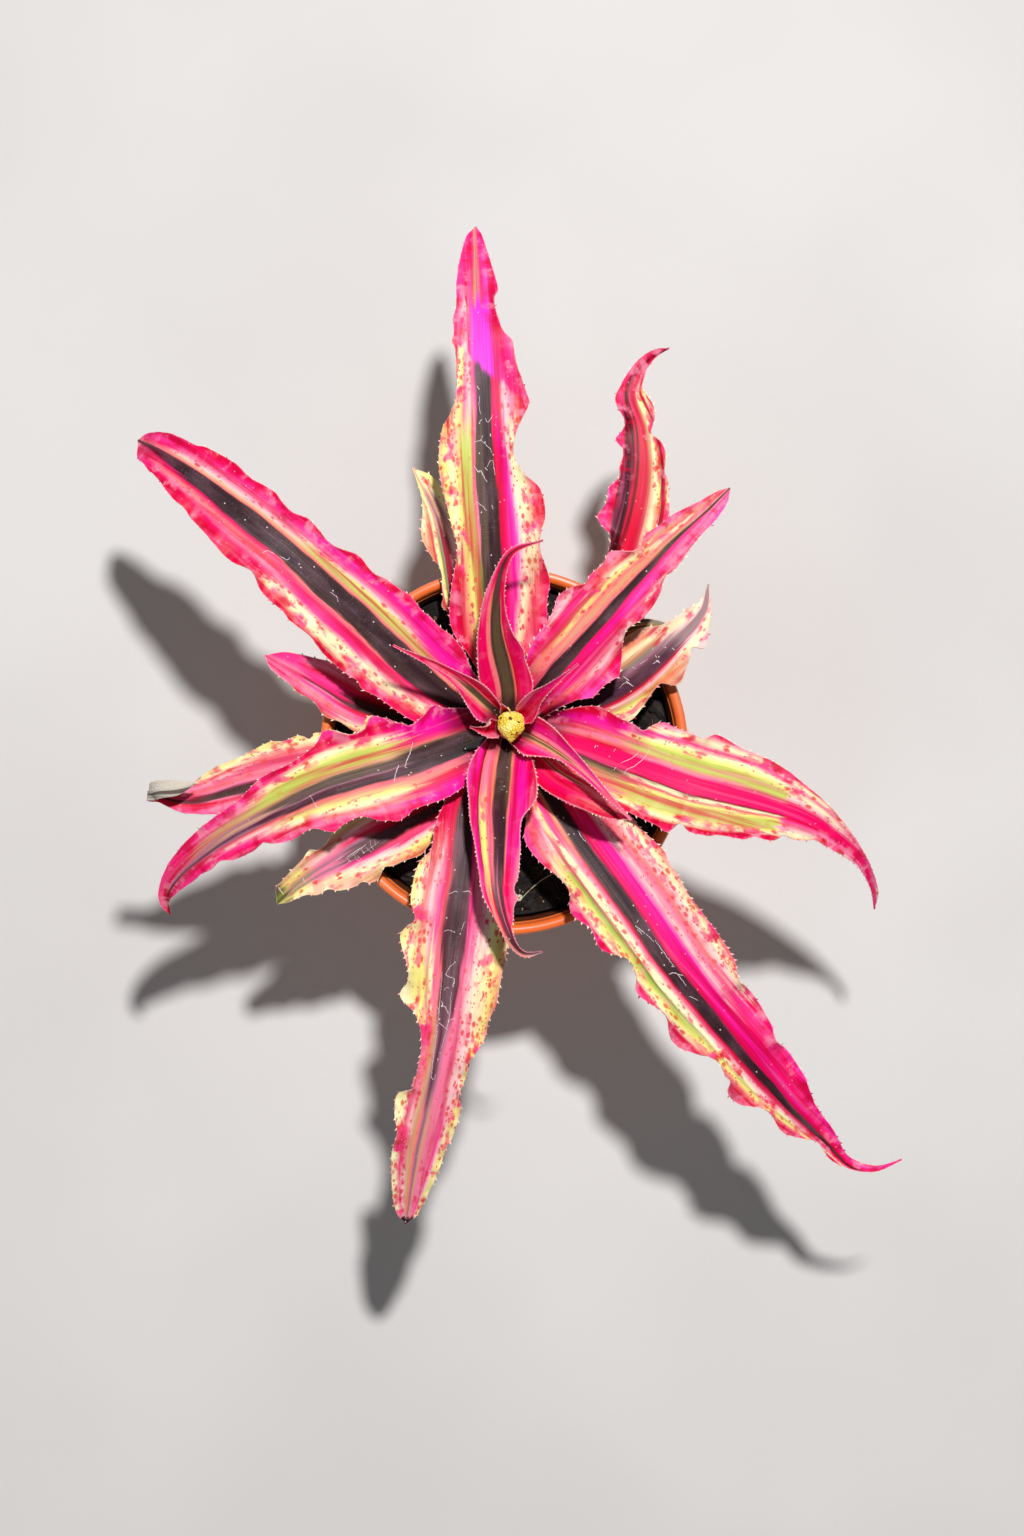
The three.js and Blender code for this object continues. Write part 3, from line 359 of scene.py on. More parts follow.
# %% Recipes, leaf by leaf
RECIPES = {
    "leaf_long_back": [
        (0.0, 0.05, """-1.1 hotpink, -.8 salmon, -.6 cream, -.42 magenta, -.26 hotpink, -.2 dark, .22 bark,
         .3 leafgreen, .4 green, .55 butter, .75 salmon, .9 crimson, 1.15 hotpink"""),
        (0.33, 0.05, """-1.15 crimson, -1 salmon, -.85 cream, -.66 cream, -.57 blush, -.5 orchid,
         -.4 magenta, -.3 hotpink, -.2 crimson, -.17 dark, .04 dark, .1 moss, .24 moss, .28 rose, .36 green,
         .58 green, .68 butter, .8 cream, 1.0 butter, 1.2 salmon"""),
        (0.6, 0.04, """-1.1 crimson, -.9 salmon, -.7 rose, -.52 blush, -.4 hotpink, -.22 hotpink, -.17 dark,
         .22 dark, .3 pink, .45 blush, .6 rose, .7 butter, .8 cream, .95 crimson, 1.15 salmon"""),
        (0.705, 0.008, """-1.1 rose, -.9 pink, -.7 hotpink, -.5 orchid, -.42 violet, .36 violet, .46 pink,
         .6 blush, .85 rose, .95 hotpink, 1.1 pink""", 0.06),
        (0.84, 0.02, """-1.2 pink, -.8 pink, -.5 orchid, -.2 pink, .04 salmon, .1 mauve, .18 tan,
         .26 salmon, .4 pink, .6 hotpink, .9 pink, 1.2 pink"""),
    ],
    "leaf_long_back_left": [
        (0.0, 0.05, """-1.1 hotpink, -.7 magenta, -.48 pink, -.4 tan, -.34 green, -.26 tan, -.2 salmon,
         -.14 dark, .36 dark, .41 hotpink, .55 rose, .7 cream, .85 salmon, .95 hotpink"""),
        (0.3, 0.05, """-1.1 hotpink, -.9 crimson, -.8 magenta, -.65 pink, -.56 rose, -.5 blush, -.44 butter,
         -.38 green, -.28 green, -.22 tan, -.16 salmon, -.11 dark, .32 dark, .36 salmon, .44 hotpink,
         .6 pink, .7 cream, .85 cream, .98 crimson"""),
        (0.56, 0.05, """-1.1 crimson, -.85 hotpink, -.7 pink, -.5 rose, -.35 blush, -.24 tan, -.18 salmon,
         -.12 dark, .3 dark, .37 hotpink, .5 salmon, .62 rose, .75 hotpink, .9 crimson, 1.1 hotpink"""),
        (0.9, 0.05, """-1.1 pink, -.7 pink, -.4 hotpink, -.2 salmon, -.1 plum, .15 maroon, .34 pink,
         .5 hotpink, 1 pink"""),
    ],
    "leaf_broad_back_right": [
        (0.0, 0.05, """-1.1 orchid, -.85 pink, -.68 salmon, -.5 magenta, -.3 hotpink, -.2 dark, .14 dark,
         .19 plum, .26 salmon, .5 salmon, .62 orange, .74 rose, .84 hotpink, .95 magenta"""),
        (0.3, 0.06, """-1.1 hotpink, -.92 crimson, -.76 blush, -.6 rose, -.45 pink, -.34 magenta,
         -.2 hotpink, -.15 dark, .1 dark, .16 salmon, .3 tan, .42 salmon, .52 butter, .6 orange, .72 pink,
         .84 hotpink, .95 blush, 1.1 rose"""),
        (0.52, 0.06, """-1.1 rose, -.92 hotpink, -.78 blush, -.6 pink, -.35 orchid, -.12 hotpink, -.08 dark,
         .1 dark, .16 salmon, .28 tan, .42 salmon, .55 butter, .66 cream, .8 salmon, 1.05 rose"""),
        (0.7, 0.06, """-1.1 pink, -.85 rose, -.65 pink, -.42 rose, -.2 pink, -.03 hotpink, .02 bark,
         .14 bark, .2 tan, .32 salmon, .46 cream, .6 salmon, .75 tan, .9 rose, 1.1 pink"""),
        (0.86, 0.05, """-1.1 orchid, -.7 rose, -.4 pink, -.2 rose, -.1 bark, .04 bark, .12 tan, .28 rose,
         .42 salmon, .58 tan, .75 rose, 1 rose"""),
    ],
    "leaf_outer_back_right": [
        (0.0, 0.05, """-1.1 salmon, -.5 salmon, -.3 crimson, -.1 crimson, .2 crimson, .3 oxblood,
         .8 oxblood, .95 hotpink, 1.1 rose"""),
        (0.5, 0.05, """-1.2 salmon, -1.05 cream, -.9 crimson, -.8 maroon, -.7 butter, -.54 cream, -.36 tan,
         -.18 crimson, -.06 crimson, .12 crimson, .22 oxblood, .33 crimson, .42 oxblood, .84 oxblood,
         .92 crimson, 1.1 pink"""),
        (0.84, 0.04, """-1.1 butter, -.9 crimson, -.6 rose, -.35 crimson, -.1 crimson, .04 oxblood,
         .4 oxblood, .55 crimson, .8 pink, 1.1 crimson"""),
        (0.93, 0.03, "-1.1 rose, -.5 hotpink, -.25 oxblood, .0 oxblood, .25 crimson, .45 pink, 1 rose"),
    ],
    "leaf_broad_right": [
        (0.0, 0.05, """-1.1 crimson, -.7 salmon, -.5 tan, -.36 olive, -.3 maroon, -.25 hotpink, .12 hotpink,
         .18 crimson, .28 salmon, .4 rose, .5 salmon, .6 pink, .8 magenta, 1.0 crimson"""),
        (0.28, 0.04, """-1.1 hotpink, -.95 crimson, -.87 cream, -.78 butter, -.72 green, -.5 green,
         -.43 butter, -.37 salmon, -.32 cream, -.27 maroon, -.22 hotpink, .12 hotpink, .18 rose, .26 tan,
         .32 green, .5 green, .58 butter, .7 cream, .8 pink, .92 cream, 1.1 pink"""),
        (0.615, 0.01, """-1.05 salmon, -.85 cream, -.65 blush, -.5 rose, -.38 pink, -.3 crimson,
         -.22 hotpink, .18 hotpink, .26 rose, .38 blush, .55 cream, .7 rose, .85 cream, .98 hotpink,
         1.1 pink"""),
        (0.78, 0.05, """-1.1 pink, -.85 blush, -.6 pink, -.4 rose, -.3 pink, -.2 hotpink, .2 hotpink,
         .4 pink, .7 rose, 1 pink"""),
        (0.92, 0.03, "-1 pink, -.3 hotpink, .3 pink, .8 rose, 1 blush"),
    ],
    "leaf_long_front_right": [
        (0.0, 0.05, """-1.15 pink, -.95 salmon, -.78 rose, -.66 blush, -.55 butter, -.48 pink, -.35 hotpink,
         -.24 tan, -.18 dark, .12 dark, .18 hotpink, .42 hotpink, .55 blush, .66 salmon, .78 blush,
         .95 cream, 1.07 salmon, 1.2 hotpink"""),
        (0.22, 0.05, """-1.15 pink, -.98 hotpink, -.88 cream, -.76 butter, -.68 green, -.56 leafgreen,
         -.5 cream, -.4 cream, -.3 rose, -.22 crimson, -.17 dark, .08 dark, .14 hotpink, .4 magenta,
         .5 blush, .58 rose, .67 salmon, .77 blush, .92 cream, 1.04 salmon, 1.15 crimson"""),
        (0.55, 0.06, """-1.15 rose, -1.0 crimson, -.86 salmon, -.72 butter, -.62 green, -.54 cream,
         -.42 blush, -.32 rose, -.22 crimson, -.16 dark, .06 dark, .12 hotpink, .3 magenta, .5 hotpink,
         .7 pink, .85 hotpink, 1.1 magenta"""),
        (0.8, 0.05, """-1.1 crimson, -.85 pink, -.75 butter, -.6 rose, -.4 hotpink, -.26 crimson,
         -.18 maroon, -.1 wine, .06 wine, .14 crimson, .3 hotpink, .6 pink, .8 magenta, 1.1 hotpink"""),
        (0.925, 0.02, "-1 pink, -.2 hotpink, .2 pink, .6 orchid, 1 blush"),
    ],
    "leaf_long_front": [
        (0.0, 0.05, """-1.1 crimson, -.6 hotpink, -.4 crimson, -.3 plum, -.2 wine, .1 dark, .2 wine,
         .3 crimson, .5 hotpink, .8 salmon, 1.1 butter"""),
        (0.25, 0.05, """-1.1 butter, -.9 cream, -.72 salmon, -.6 blush, -.48 rose, -.38 pink, -.3 salmon,
         -.22 plum, -.14 wine, .02 dark, .16 wine, .22 plum, .28 pink, .4 rose, .5 rose, .62 blush,
         .74 cream, .9 butter, 1.1 cream"""),
        (0.44, 0.05, """-1.1 cream, -.85 butter, -.64 butter, -.55 tan, -.45 cream, -.36 rose, -.25 salmon,
         -.17 plum, -.1 ash, .1 ash, .17 plum, .25 rose, .42 blush, .58 cream, .85 butter, 1.1 salmon"""),
        (0.57, 0.05, """-1.15 butter, -.95 cream, -.8 salmon, -.62 rose, -.45 salmon, -.25 tan, -.14 mauve,
         -.02 plum, .08 mauve, .2 rose, .4 rose, .58 blush, .74 blush, .9 butter, 1.2 salmon"""),
        (0.74, 0.04, """-1.15 cream, -.92 cream, -.7 rose, -.5 blush, -.25 tan, -.1 salmon, -.02 mauve,
         .03 mauve, .12 tan, .3 rose, .5 rose, .62 pink, .75 blush, .9 butter, 1.1 cream"""),
        (0.985, 0.006, "-1 ink, 1 ink"),
    ],
    "leaf_broad_left": [
        (0.0, 0.05, """-1.1 magenta, -.6 magenta, -.5 pink, -.38 salmon, -.3 olive, -.24 dark, .28 dark,
         .34 salmon, .48 orange, .56 crimson, .7 hotpink, .85 magenta, 1.1 magenta"""),
        (0.27, 0.05, """-1.1 pink, -.95 crimson, -.84 hotpink, -.7 cream, -.6 butter, -.54 green,
         -.34 green, -.26 tan, -.19 moss, -.03 moss, 0 mauve, .04 plum, .2 dark, .26 salmon, .36 tan,
         .46 butter, .6 cream, .74 salmon, .85 rose, 1.0 hotpink"""),
        (0.6, 0.06, """-1.1 hotpink, -.85 pink, -.6 rose, -.42 tan, -.28 tan, -.18 mauve, -.08 tan, 0 mauve,
         .05 plum, .2 mauve, .28 salmon, .42 blush, .58 pink, .8 hotpink, 1.1 rose"""),
        (0.78, 0.06, """-1.1 pink, -.7 hotpink, -.35 crimson, -.2 rose, -.08 mauve, .08 plum, .2 rose,
         .3 crimson, .6 hotpink, 1 pink"""),
        (0.92, 0.03, "-1 hotpink, -.3 crimson, -.1 maroon, .2 maroon, .5 hotpink, 1 pink"),
    ],
    "leaf_under_left": [
        (0.0, 0.05, """-1.1 butter, -.85 cream, -.7 salmon, -.5 rose, -.3 rose, -.1 crimson, .02 plum,
         .4 bark, .5 plum, .6 crimson, .85 rose, 1.1 rose"""),
        (0.6, 0.06, """-1.1 butter, -.9 cream, -.76 salmon, -.62 blush, -.45 rose, -.3 salmon, -.1 rose,
         .02 plum, .1 bark, .3 bark, .36 rose, .5 crimson, .75 rose, 1.1 pink"""),
        (0.75, 0.04, """-1.1 cream, -.8 rose, -.5 rose, -.1 crimson, .2 maroon, .35 plum, .5 crimson,
         1.1 pink"""),
    ],
    "leaf_old_left": [
        (0.0, 0.05, """-1.1 rose, -.85 salmon, -.6 crimson, -.35 maroon, -.15 ink, .05 plum, .2 crimson,
         .45 pink, .65 rose, .8 cream, 1.1 ochre"""),
        (0.62, 0.08, """-1.1 rose, -.85 rose, -.6 crimson, -.3 pink, -.08 hotpink, 0 plum, .08 rose,
         .25 pink, .42 rose, .55 salmon, .75 rose, .9 rose, 1.1 crimson"""),
        (0.85, 0.05, "-1.1 pink, -.5 pink, -.2 rose, 0 crimson, .12 pink, .4 rose, .65 hotpink, 1.1 rose"),
    ],
    "leaf_old_front_left": [
        (0.0, 0.05, """-1.1 tan, -.85 cream, -.6 salmon, -.45 hotpink, -.25 crimson, -.08 plum, .14 grape,
         .3 crimson, .5 hotpink, .6 blush, .8 butter, 1.15 ochre"""),
        (0.58, 0.06, """-1.1 cream, -.85 tan, -.65 blush, -.5 rose, -.35 crimson, -.2 mauve, -.1 ash,
         .14 ash, .26 plum, .38 pink, .5 blush, .75 cream, 1.05 tan"""),
        (0.72, 0.05, """-1.1 cream, -.8 tan, -.5 blush, -.28 rose, -.1 mauve, .05 rose, .2 mauve, .35 rose,
         .6 cream, 1.1 cream"""),
        (0.86, 0.04, """-1.1 tan, -.6 butter, -.3 tan, -.1 grey, .1 tan, .22 grey, .4 butter, .8 cream,
         1.1 tan"""),
        (0.95, 0.02, "-1 olive, -.4 leafgreen, 0 olive, .3 green, .6 leafgreen, 1 tan"),
    ],
    "leaf_old_right": [
        (0.0, 0.05, """-1.1 cream, -.8 butter, -.66 green, -.5 blush, -.4 crimson, -.28 plum, -.15 grape,
         .2 grape, .35 plum, .46 grey, .56 tan, .85 ochre, 1.15 tan"""),
        (0.5, 0.04, """-1.1 tan, -.85 orange, -.7 ochre, -.55 blush, -.4 crimson, -.3 plum, -.08 grape,
         .1 plum, .28 mauve, .4 grey, .55 tan, .7 cream, .85 orange, 1.1 tan"""),
        (0.72, 0.06, """-1.1 blush, -.7 cream, -.4 blush, -.25 mauve, -.1 grey, .1 mauve, .2 grey,
         .35 blush, .6 cream, 1.1 blush"""),
    ],
    "leaf_old_back_left": [
        (0.0, 0.05, """-1.1 tan, -.6 cream, -.3 hotpink, -.12 plum, -.02 maroon, .06 bark, .14 leafgreen,
         .3 olive, .6 ochre, 1.1 bark"""),
        (0.48, 0.05, """-1.1 cream, -.7 rose, -.4 blush, -.18 maroon, -.02 maroon, .08 grey, .25 leafgreen,
         .4 butter, .6 cream, .75 orange, .9 ochre, 1.2 tan"""),
        (0.76, 0.05, """-1.1 butter, -.7 cream, -.4 mauve, -.25 tan, -.05 mauve, .15 tan, .4 cream, .7 tan,
         1.1 cream"""),
        (0.9, 0.04, "-1.1 butter, -.2 cream, .0 tan, .3 butter, 1.1 butter"),
    ],
    "leaf_old_curled": [
        (0.0, 0.1, "-1 ochre, -.6 tan, -.3 ochre, 0 tan, .3 ochre, .6 olive, .8 tan, 1 bark"),
        (0.84, 0.05, "-1 tan, -.5 ochre, 0 tan, .4 grey, .7 leafgreen, 1 grey"),
    ],
    "leaf_inner_back": [
        (0.0, 0.05, """-1.2 hotpink, -.9 hotpink, -.7 hotpink, -.45 crimson, -.4 orange, -.29 bark,
         -.14 olive, .14 olive, .3 bark, .4 orange, .55 salmon, .62 hotpink, .85 hotpink, 1.2 hotpink"""),
        (0.6, 0.1, """-1.1 crimson, -.6 hotpink, -.3 crimson, -.1 plum, .2 bark, .3 plum, .4 crimson,
         .6 hotpink, .85 rose, 1.1 hotpink"""),
        (0.82, 0.05, "-1 hotpink, -.3 crimson, .1 plum, .3 crimson, .6 pink, 1 rose"),
    ],
    "leaf_inner_front": [
        (0.0, 0.05, """-1.1 orchid, -.9 magenta, -.77 crimson, -.73 ink, -.7 salmon, -.5 rose, -.3 salmon,
         -.2 orange, -.14 bark, .2 bark, .34 olive, .4 orange, .46 salmon, .54 magenta, .85 magenta,
         1.0 hotpink, 1.2 crimson"""),
        (0.32, 0.06, """-1.1 rose, -.88 magenta, -.78 hotpink, -.75 ink, -.71 tan, -.64 butter, -.5 butter,
         -.4 salmon, -.3 rose, -.2 salmon, -.13 wine, .22 dark, .3 dark, .38 salmon, .46 magenta, .7 pink,
         .9 magenta, 1.1 rose"""),
        (0.62, 0.07, """-1.1 pink, -.85 hotpink, -.72 tan, -.6 salmon, -.45 crimson, -.3 plum, -.1 wine,
         0 rose, .05 wine, .2 plum, .34 crimson, .6 hotpink, 1.1 rose"""),
        (0.84, 0.04, "-1 rose, -.6 tan, -.4 plum, .1 wine, .3 maroon, .6 hotpink, 1 blush"),
    ],
    "leaf_under_front_right": [
        (0.0, 0.1, """-1 crimson, -.4 hotpink, .2 crimson, .5 hotpink, .62 salmon, .72 olive, .82 tan,
         .95 crimson"""),
        (0.66, 0.08, "-1 crimson, -.4 salmon, 0 hotpink, .4 salmon, .7 rose, 1 crimson"),
        (0.86, 0.05, "-1 crimson, 0 maroon, .5 salmon, 1 crimson"),
    ],
    "leaf_inner_left": [
        (0.0, 0.08, """-1.2 crimson, -.8 crimson, -.68 salmon, -.58 olive, -.4 olive, -.15 olive, .0 tan,
         .2 salmon, .45 rose, .65 hotpink, .9 crimson, 1.2 pink"""),
        (0.46, 0.08, """-1.1 crimson, -.7 hotpink, -.45 crimson, -.3 rose, -.1 salmon, .1 rose, .4 hotpink,
         .7 pink, 1.1 crimson"""),
        (0.72, 0.06, "-1 rose, -.3 crimson, .2 hotpink, .7 pink, 1 blush"),
    ],
    "leaf_inner_front_right": [
        (0.0, 0.08, """-1.2 hotpink, -.8 pink, -.55 rose, -.4 salmon, -.28 tan, -.05 olive, .08 tan,
         .14 maroon, .2 salmon, .35 rose, .5 pink, .75 magenta, 1 hotpink"""),
        (0.5, 0.1, """-1.1 hotpink, -.6 pink, -.25 hotpink, .0 rose, .14 tan, .24 salmon, .4 pink,
         .7 orchid, 1.1 hotpink"""),
        (0.78, 0.06, "-1 hotpink, -.3 salmon, .0 crimson, .2 rose, .5 hotpink, 1 blush"),
    ],
    "leaf_heart_back_right": [
        (0.0, 0.1, "-1 hotpink, -.5 crimson, .1 hotpink, .4 hotpink, .8 magenta, 1 rose"),
        (0.6, 0.1, "-1 rose, -.4 hotpink, .2 magenta, .6 magenta, 1 blush"),
    ],
    "leaf_heart_left": [
        (0.0, 0.1, "-1 crimson, -.3 maroon, .3 crimson, 1 rose"),
    ],
    "leaf_heart_back": [
        (0.0, 0.1, "-1 salmon, -.3 crimson, .3 crimson, 1 orange"),
    ],
}
print("recipes:", len(RECIPES))

# %% [markdown]
# A leaf's own material lays its recipe lines over each other with colour ramps. Noise that runs
# lengthwise feathers each change, as the real stripes run into one another in streaks. The base is
# painted darker, a painted shade for where it sits deep in the rosette under the other leaves.

# %% Material of a leaf's face
STRIPE_REACH = 1.3
# DEEP_SHADE is a painted shade: the colour that a leaf's base is multiplied towards, for the shadow deep in
# the rosette.
DEEP_SHADE = (0.16, 0.02, 0.05, 1.0)
LEAF_SHINE = 0.16


def stripe_ramp(board, across, line):
    """The stripes of one recipe line: their colour, and their marks."""
    stops = []
    for token in line.split(","):
        place, name = token.split()
        *paint, marks = PAINTS[name]
        stops.append(((float(place) + STRIPE_REACH) / (2 * STRIPE_REACH), (*colour(*paint)[:3], marks)))
    return board.stops(across, stops)


def leaf_material(name, recipe, look):
    material, board = new_material(name + "_face")
    stripes = board.add("SeparateXYZ", {0: board.map_place("stripes")}).outputs
    place = board.map_place("true_size")
    drift = board.scaled(board.grain(place, (5, 12, 1)), 0.05, -0.025)
    ruffle = board.scaled(board.grain(place, (7, 130, 1), 3.0, 0.7), 0.032, -0.016)
    across = board.plus(stripes["Y"], board.plus(drift, ruffle))
    feather = board.grain(place, (3, 70, 1), 3.0, 0.6)
    paint, marks = stripe_ramp(board, across, recipe[0][2])
    for start, softness, line, *slant in recipe[1:]:
        along = board.plus(stripes["X"], board.scaled(feather, softness * 4.4, -softness * 2.2))
        if slant:
            lean = STRIPE_REACH * slant[0]
            along = board.plus(along, board.scaled(stripes["Y"], -2 * lean, lean))
        share = board.ramp(along, start - softness, start + softness)
        next_paint, next_marks = stripe_ramp(board, across, line)
        paint = board.mix(share, paint, next_paint)
        marks = board.blend_number(share, marks, next_marks)
    # Painted shade: near the axis the paint darkens towards DEEP_SHADE, where the leaves above shade the
    # base.
    distance = board.add("SeparateXYZ", {0: place}).outputs["X"]
    deep = board.ramp(distance, look["deep"], look["deep"] * 0.5, 0.0, 0.95)
    marked = board.shared("leaf_marks", {
        "Colour": board.mix(deep, paint, DEEP_SHADE, "MULTIPLY"), "Marks": marks, "Place": place,
        "Edge": board.attribute("edge_mm"), "Freckles": look["freckles"], "Scurf": look["scurf"],
        "Seam": look["seam"], "Bars": look["bars"], "Edge Colour": look["edge"]})
    roughness = board.ramp(marked["Scurf"], 0.0, 1.0, look["roughness"], 0.85)
    sockets = board.dress(marked["Colour"], roughness, (marked["Height"], 0.35, 0.0004))
    sockets["Specular IOR Level"].default_value = LEAF_SHINE
    return material


print("one leaf's recipe lines:", len(RECIPES["leaf_long_back"]))

# %% [markdown]
# Every leaf shares three more materials. The underside is felted with grey scales, with dark lines that
# run lengthwise. Teeth are pale horn, pinker on some leaves, here and there dried to red. Scales that
# were scraped together are chalky white.

# %% Materials that the leaves share
underside, board = new_material("grey_scales")
place = board.map_place("true_size")
furrows = board.grain(place, (1.3, 42, 1), 3.0, 0.6)
scales = board.add("TexVoronoi", {"Vector": board.stretch(place, (170, 240, 1)), "Scale": 1.0},
                   voronoi_dimensions="2D").outputs["Distance"]
patches = board.ramp(board.grain(place, (5, 9, 1), 3.0, 0.6), 0.35, 0.7, 0.0, 0.55)
felt = board.mix(patches, colour(216, 206, 190), colour(214, 206, 190))
UNDER_LINES = colour(66, 50, 42)
lined = board.mix(board.ramp(furrows, 0.5, 0.6, 0.0, 0.85), felt, UNDER_LINES)
worn = board.mix(board.ramp(scales, 0.1, 0.6, 0.0, 0.16), lined, UNDER_LINES)
board.dress(worn, 0.8, (board.maths("SUBTRACT", furrows, scales), 0.5, 0.0003))

horn, board = new_material("pale_horn")
place = board.object_place()
pale = board.mix(board.ramp(board.noise(place, 60.0), 0.42, 0.62), colour(254, 232, 196),
                 colour(250, 168, 176))
dried = board.ramp(board.noise(place, 240.0, 1.0), 0.6, 0.68)
board.dress(board.mix(dried, pale, colour(150, 14, 40)), 0.45)


def mottled_material(name, scale, low, high, first, second, roughness):
    """A plain matt material whose colour wavers between two."""
    material, board = new_material(name)
    share = board.ramp(board.noise(board.object_place(), scale), low, high)
    board.dress(board.mix(share, colour(*first), colour(*second)), roughness)
    return material


white_scurf = mottled_material("white_scurf", 1400.0, 0.35, 0.65, (206, 184, 192), (248, 238, 238), 0.7)
print("materials so far:", [material.name for material in bpy.data.materials])

# %% [markdown]
# ## The shape of a leaf
# A leaf is a strip that follows its midrib. It is channelled at the base and nearly flat further out,
# and its edges wave and pull in. The table below is the one that the solids are made from: the
# midrib's points, and the half width left and right as seen walking outwards.

# %% Table of leaves, in millimetres from the plant's axis
def table(text):
    """Rows of numbers: commas part the rows, and spaces the numbers in a row."""
    return np.array([row.split() for row in text.split(",")], float)


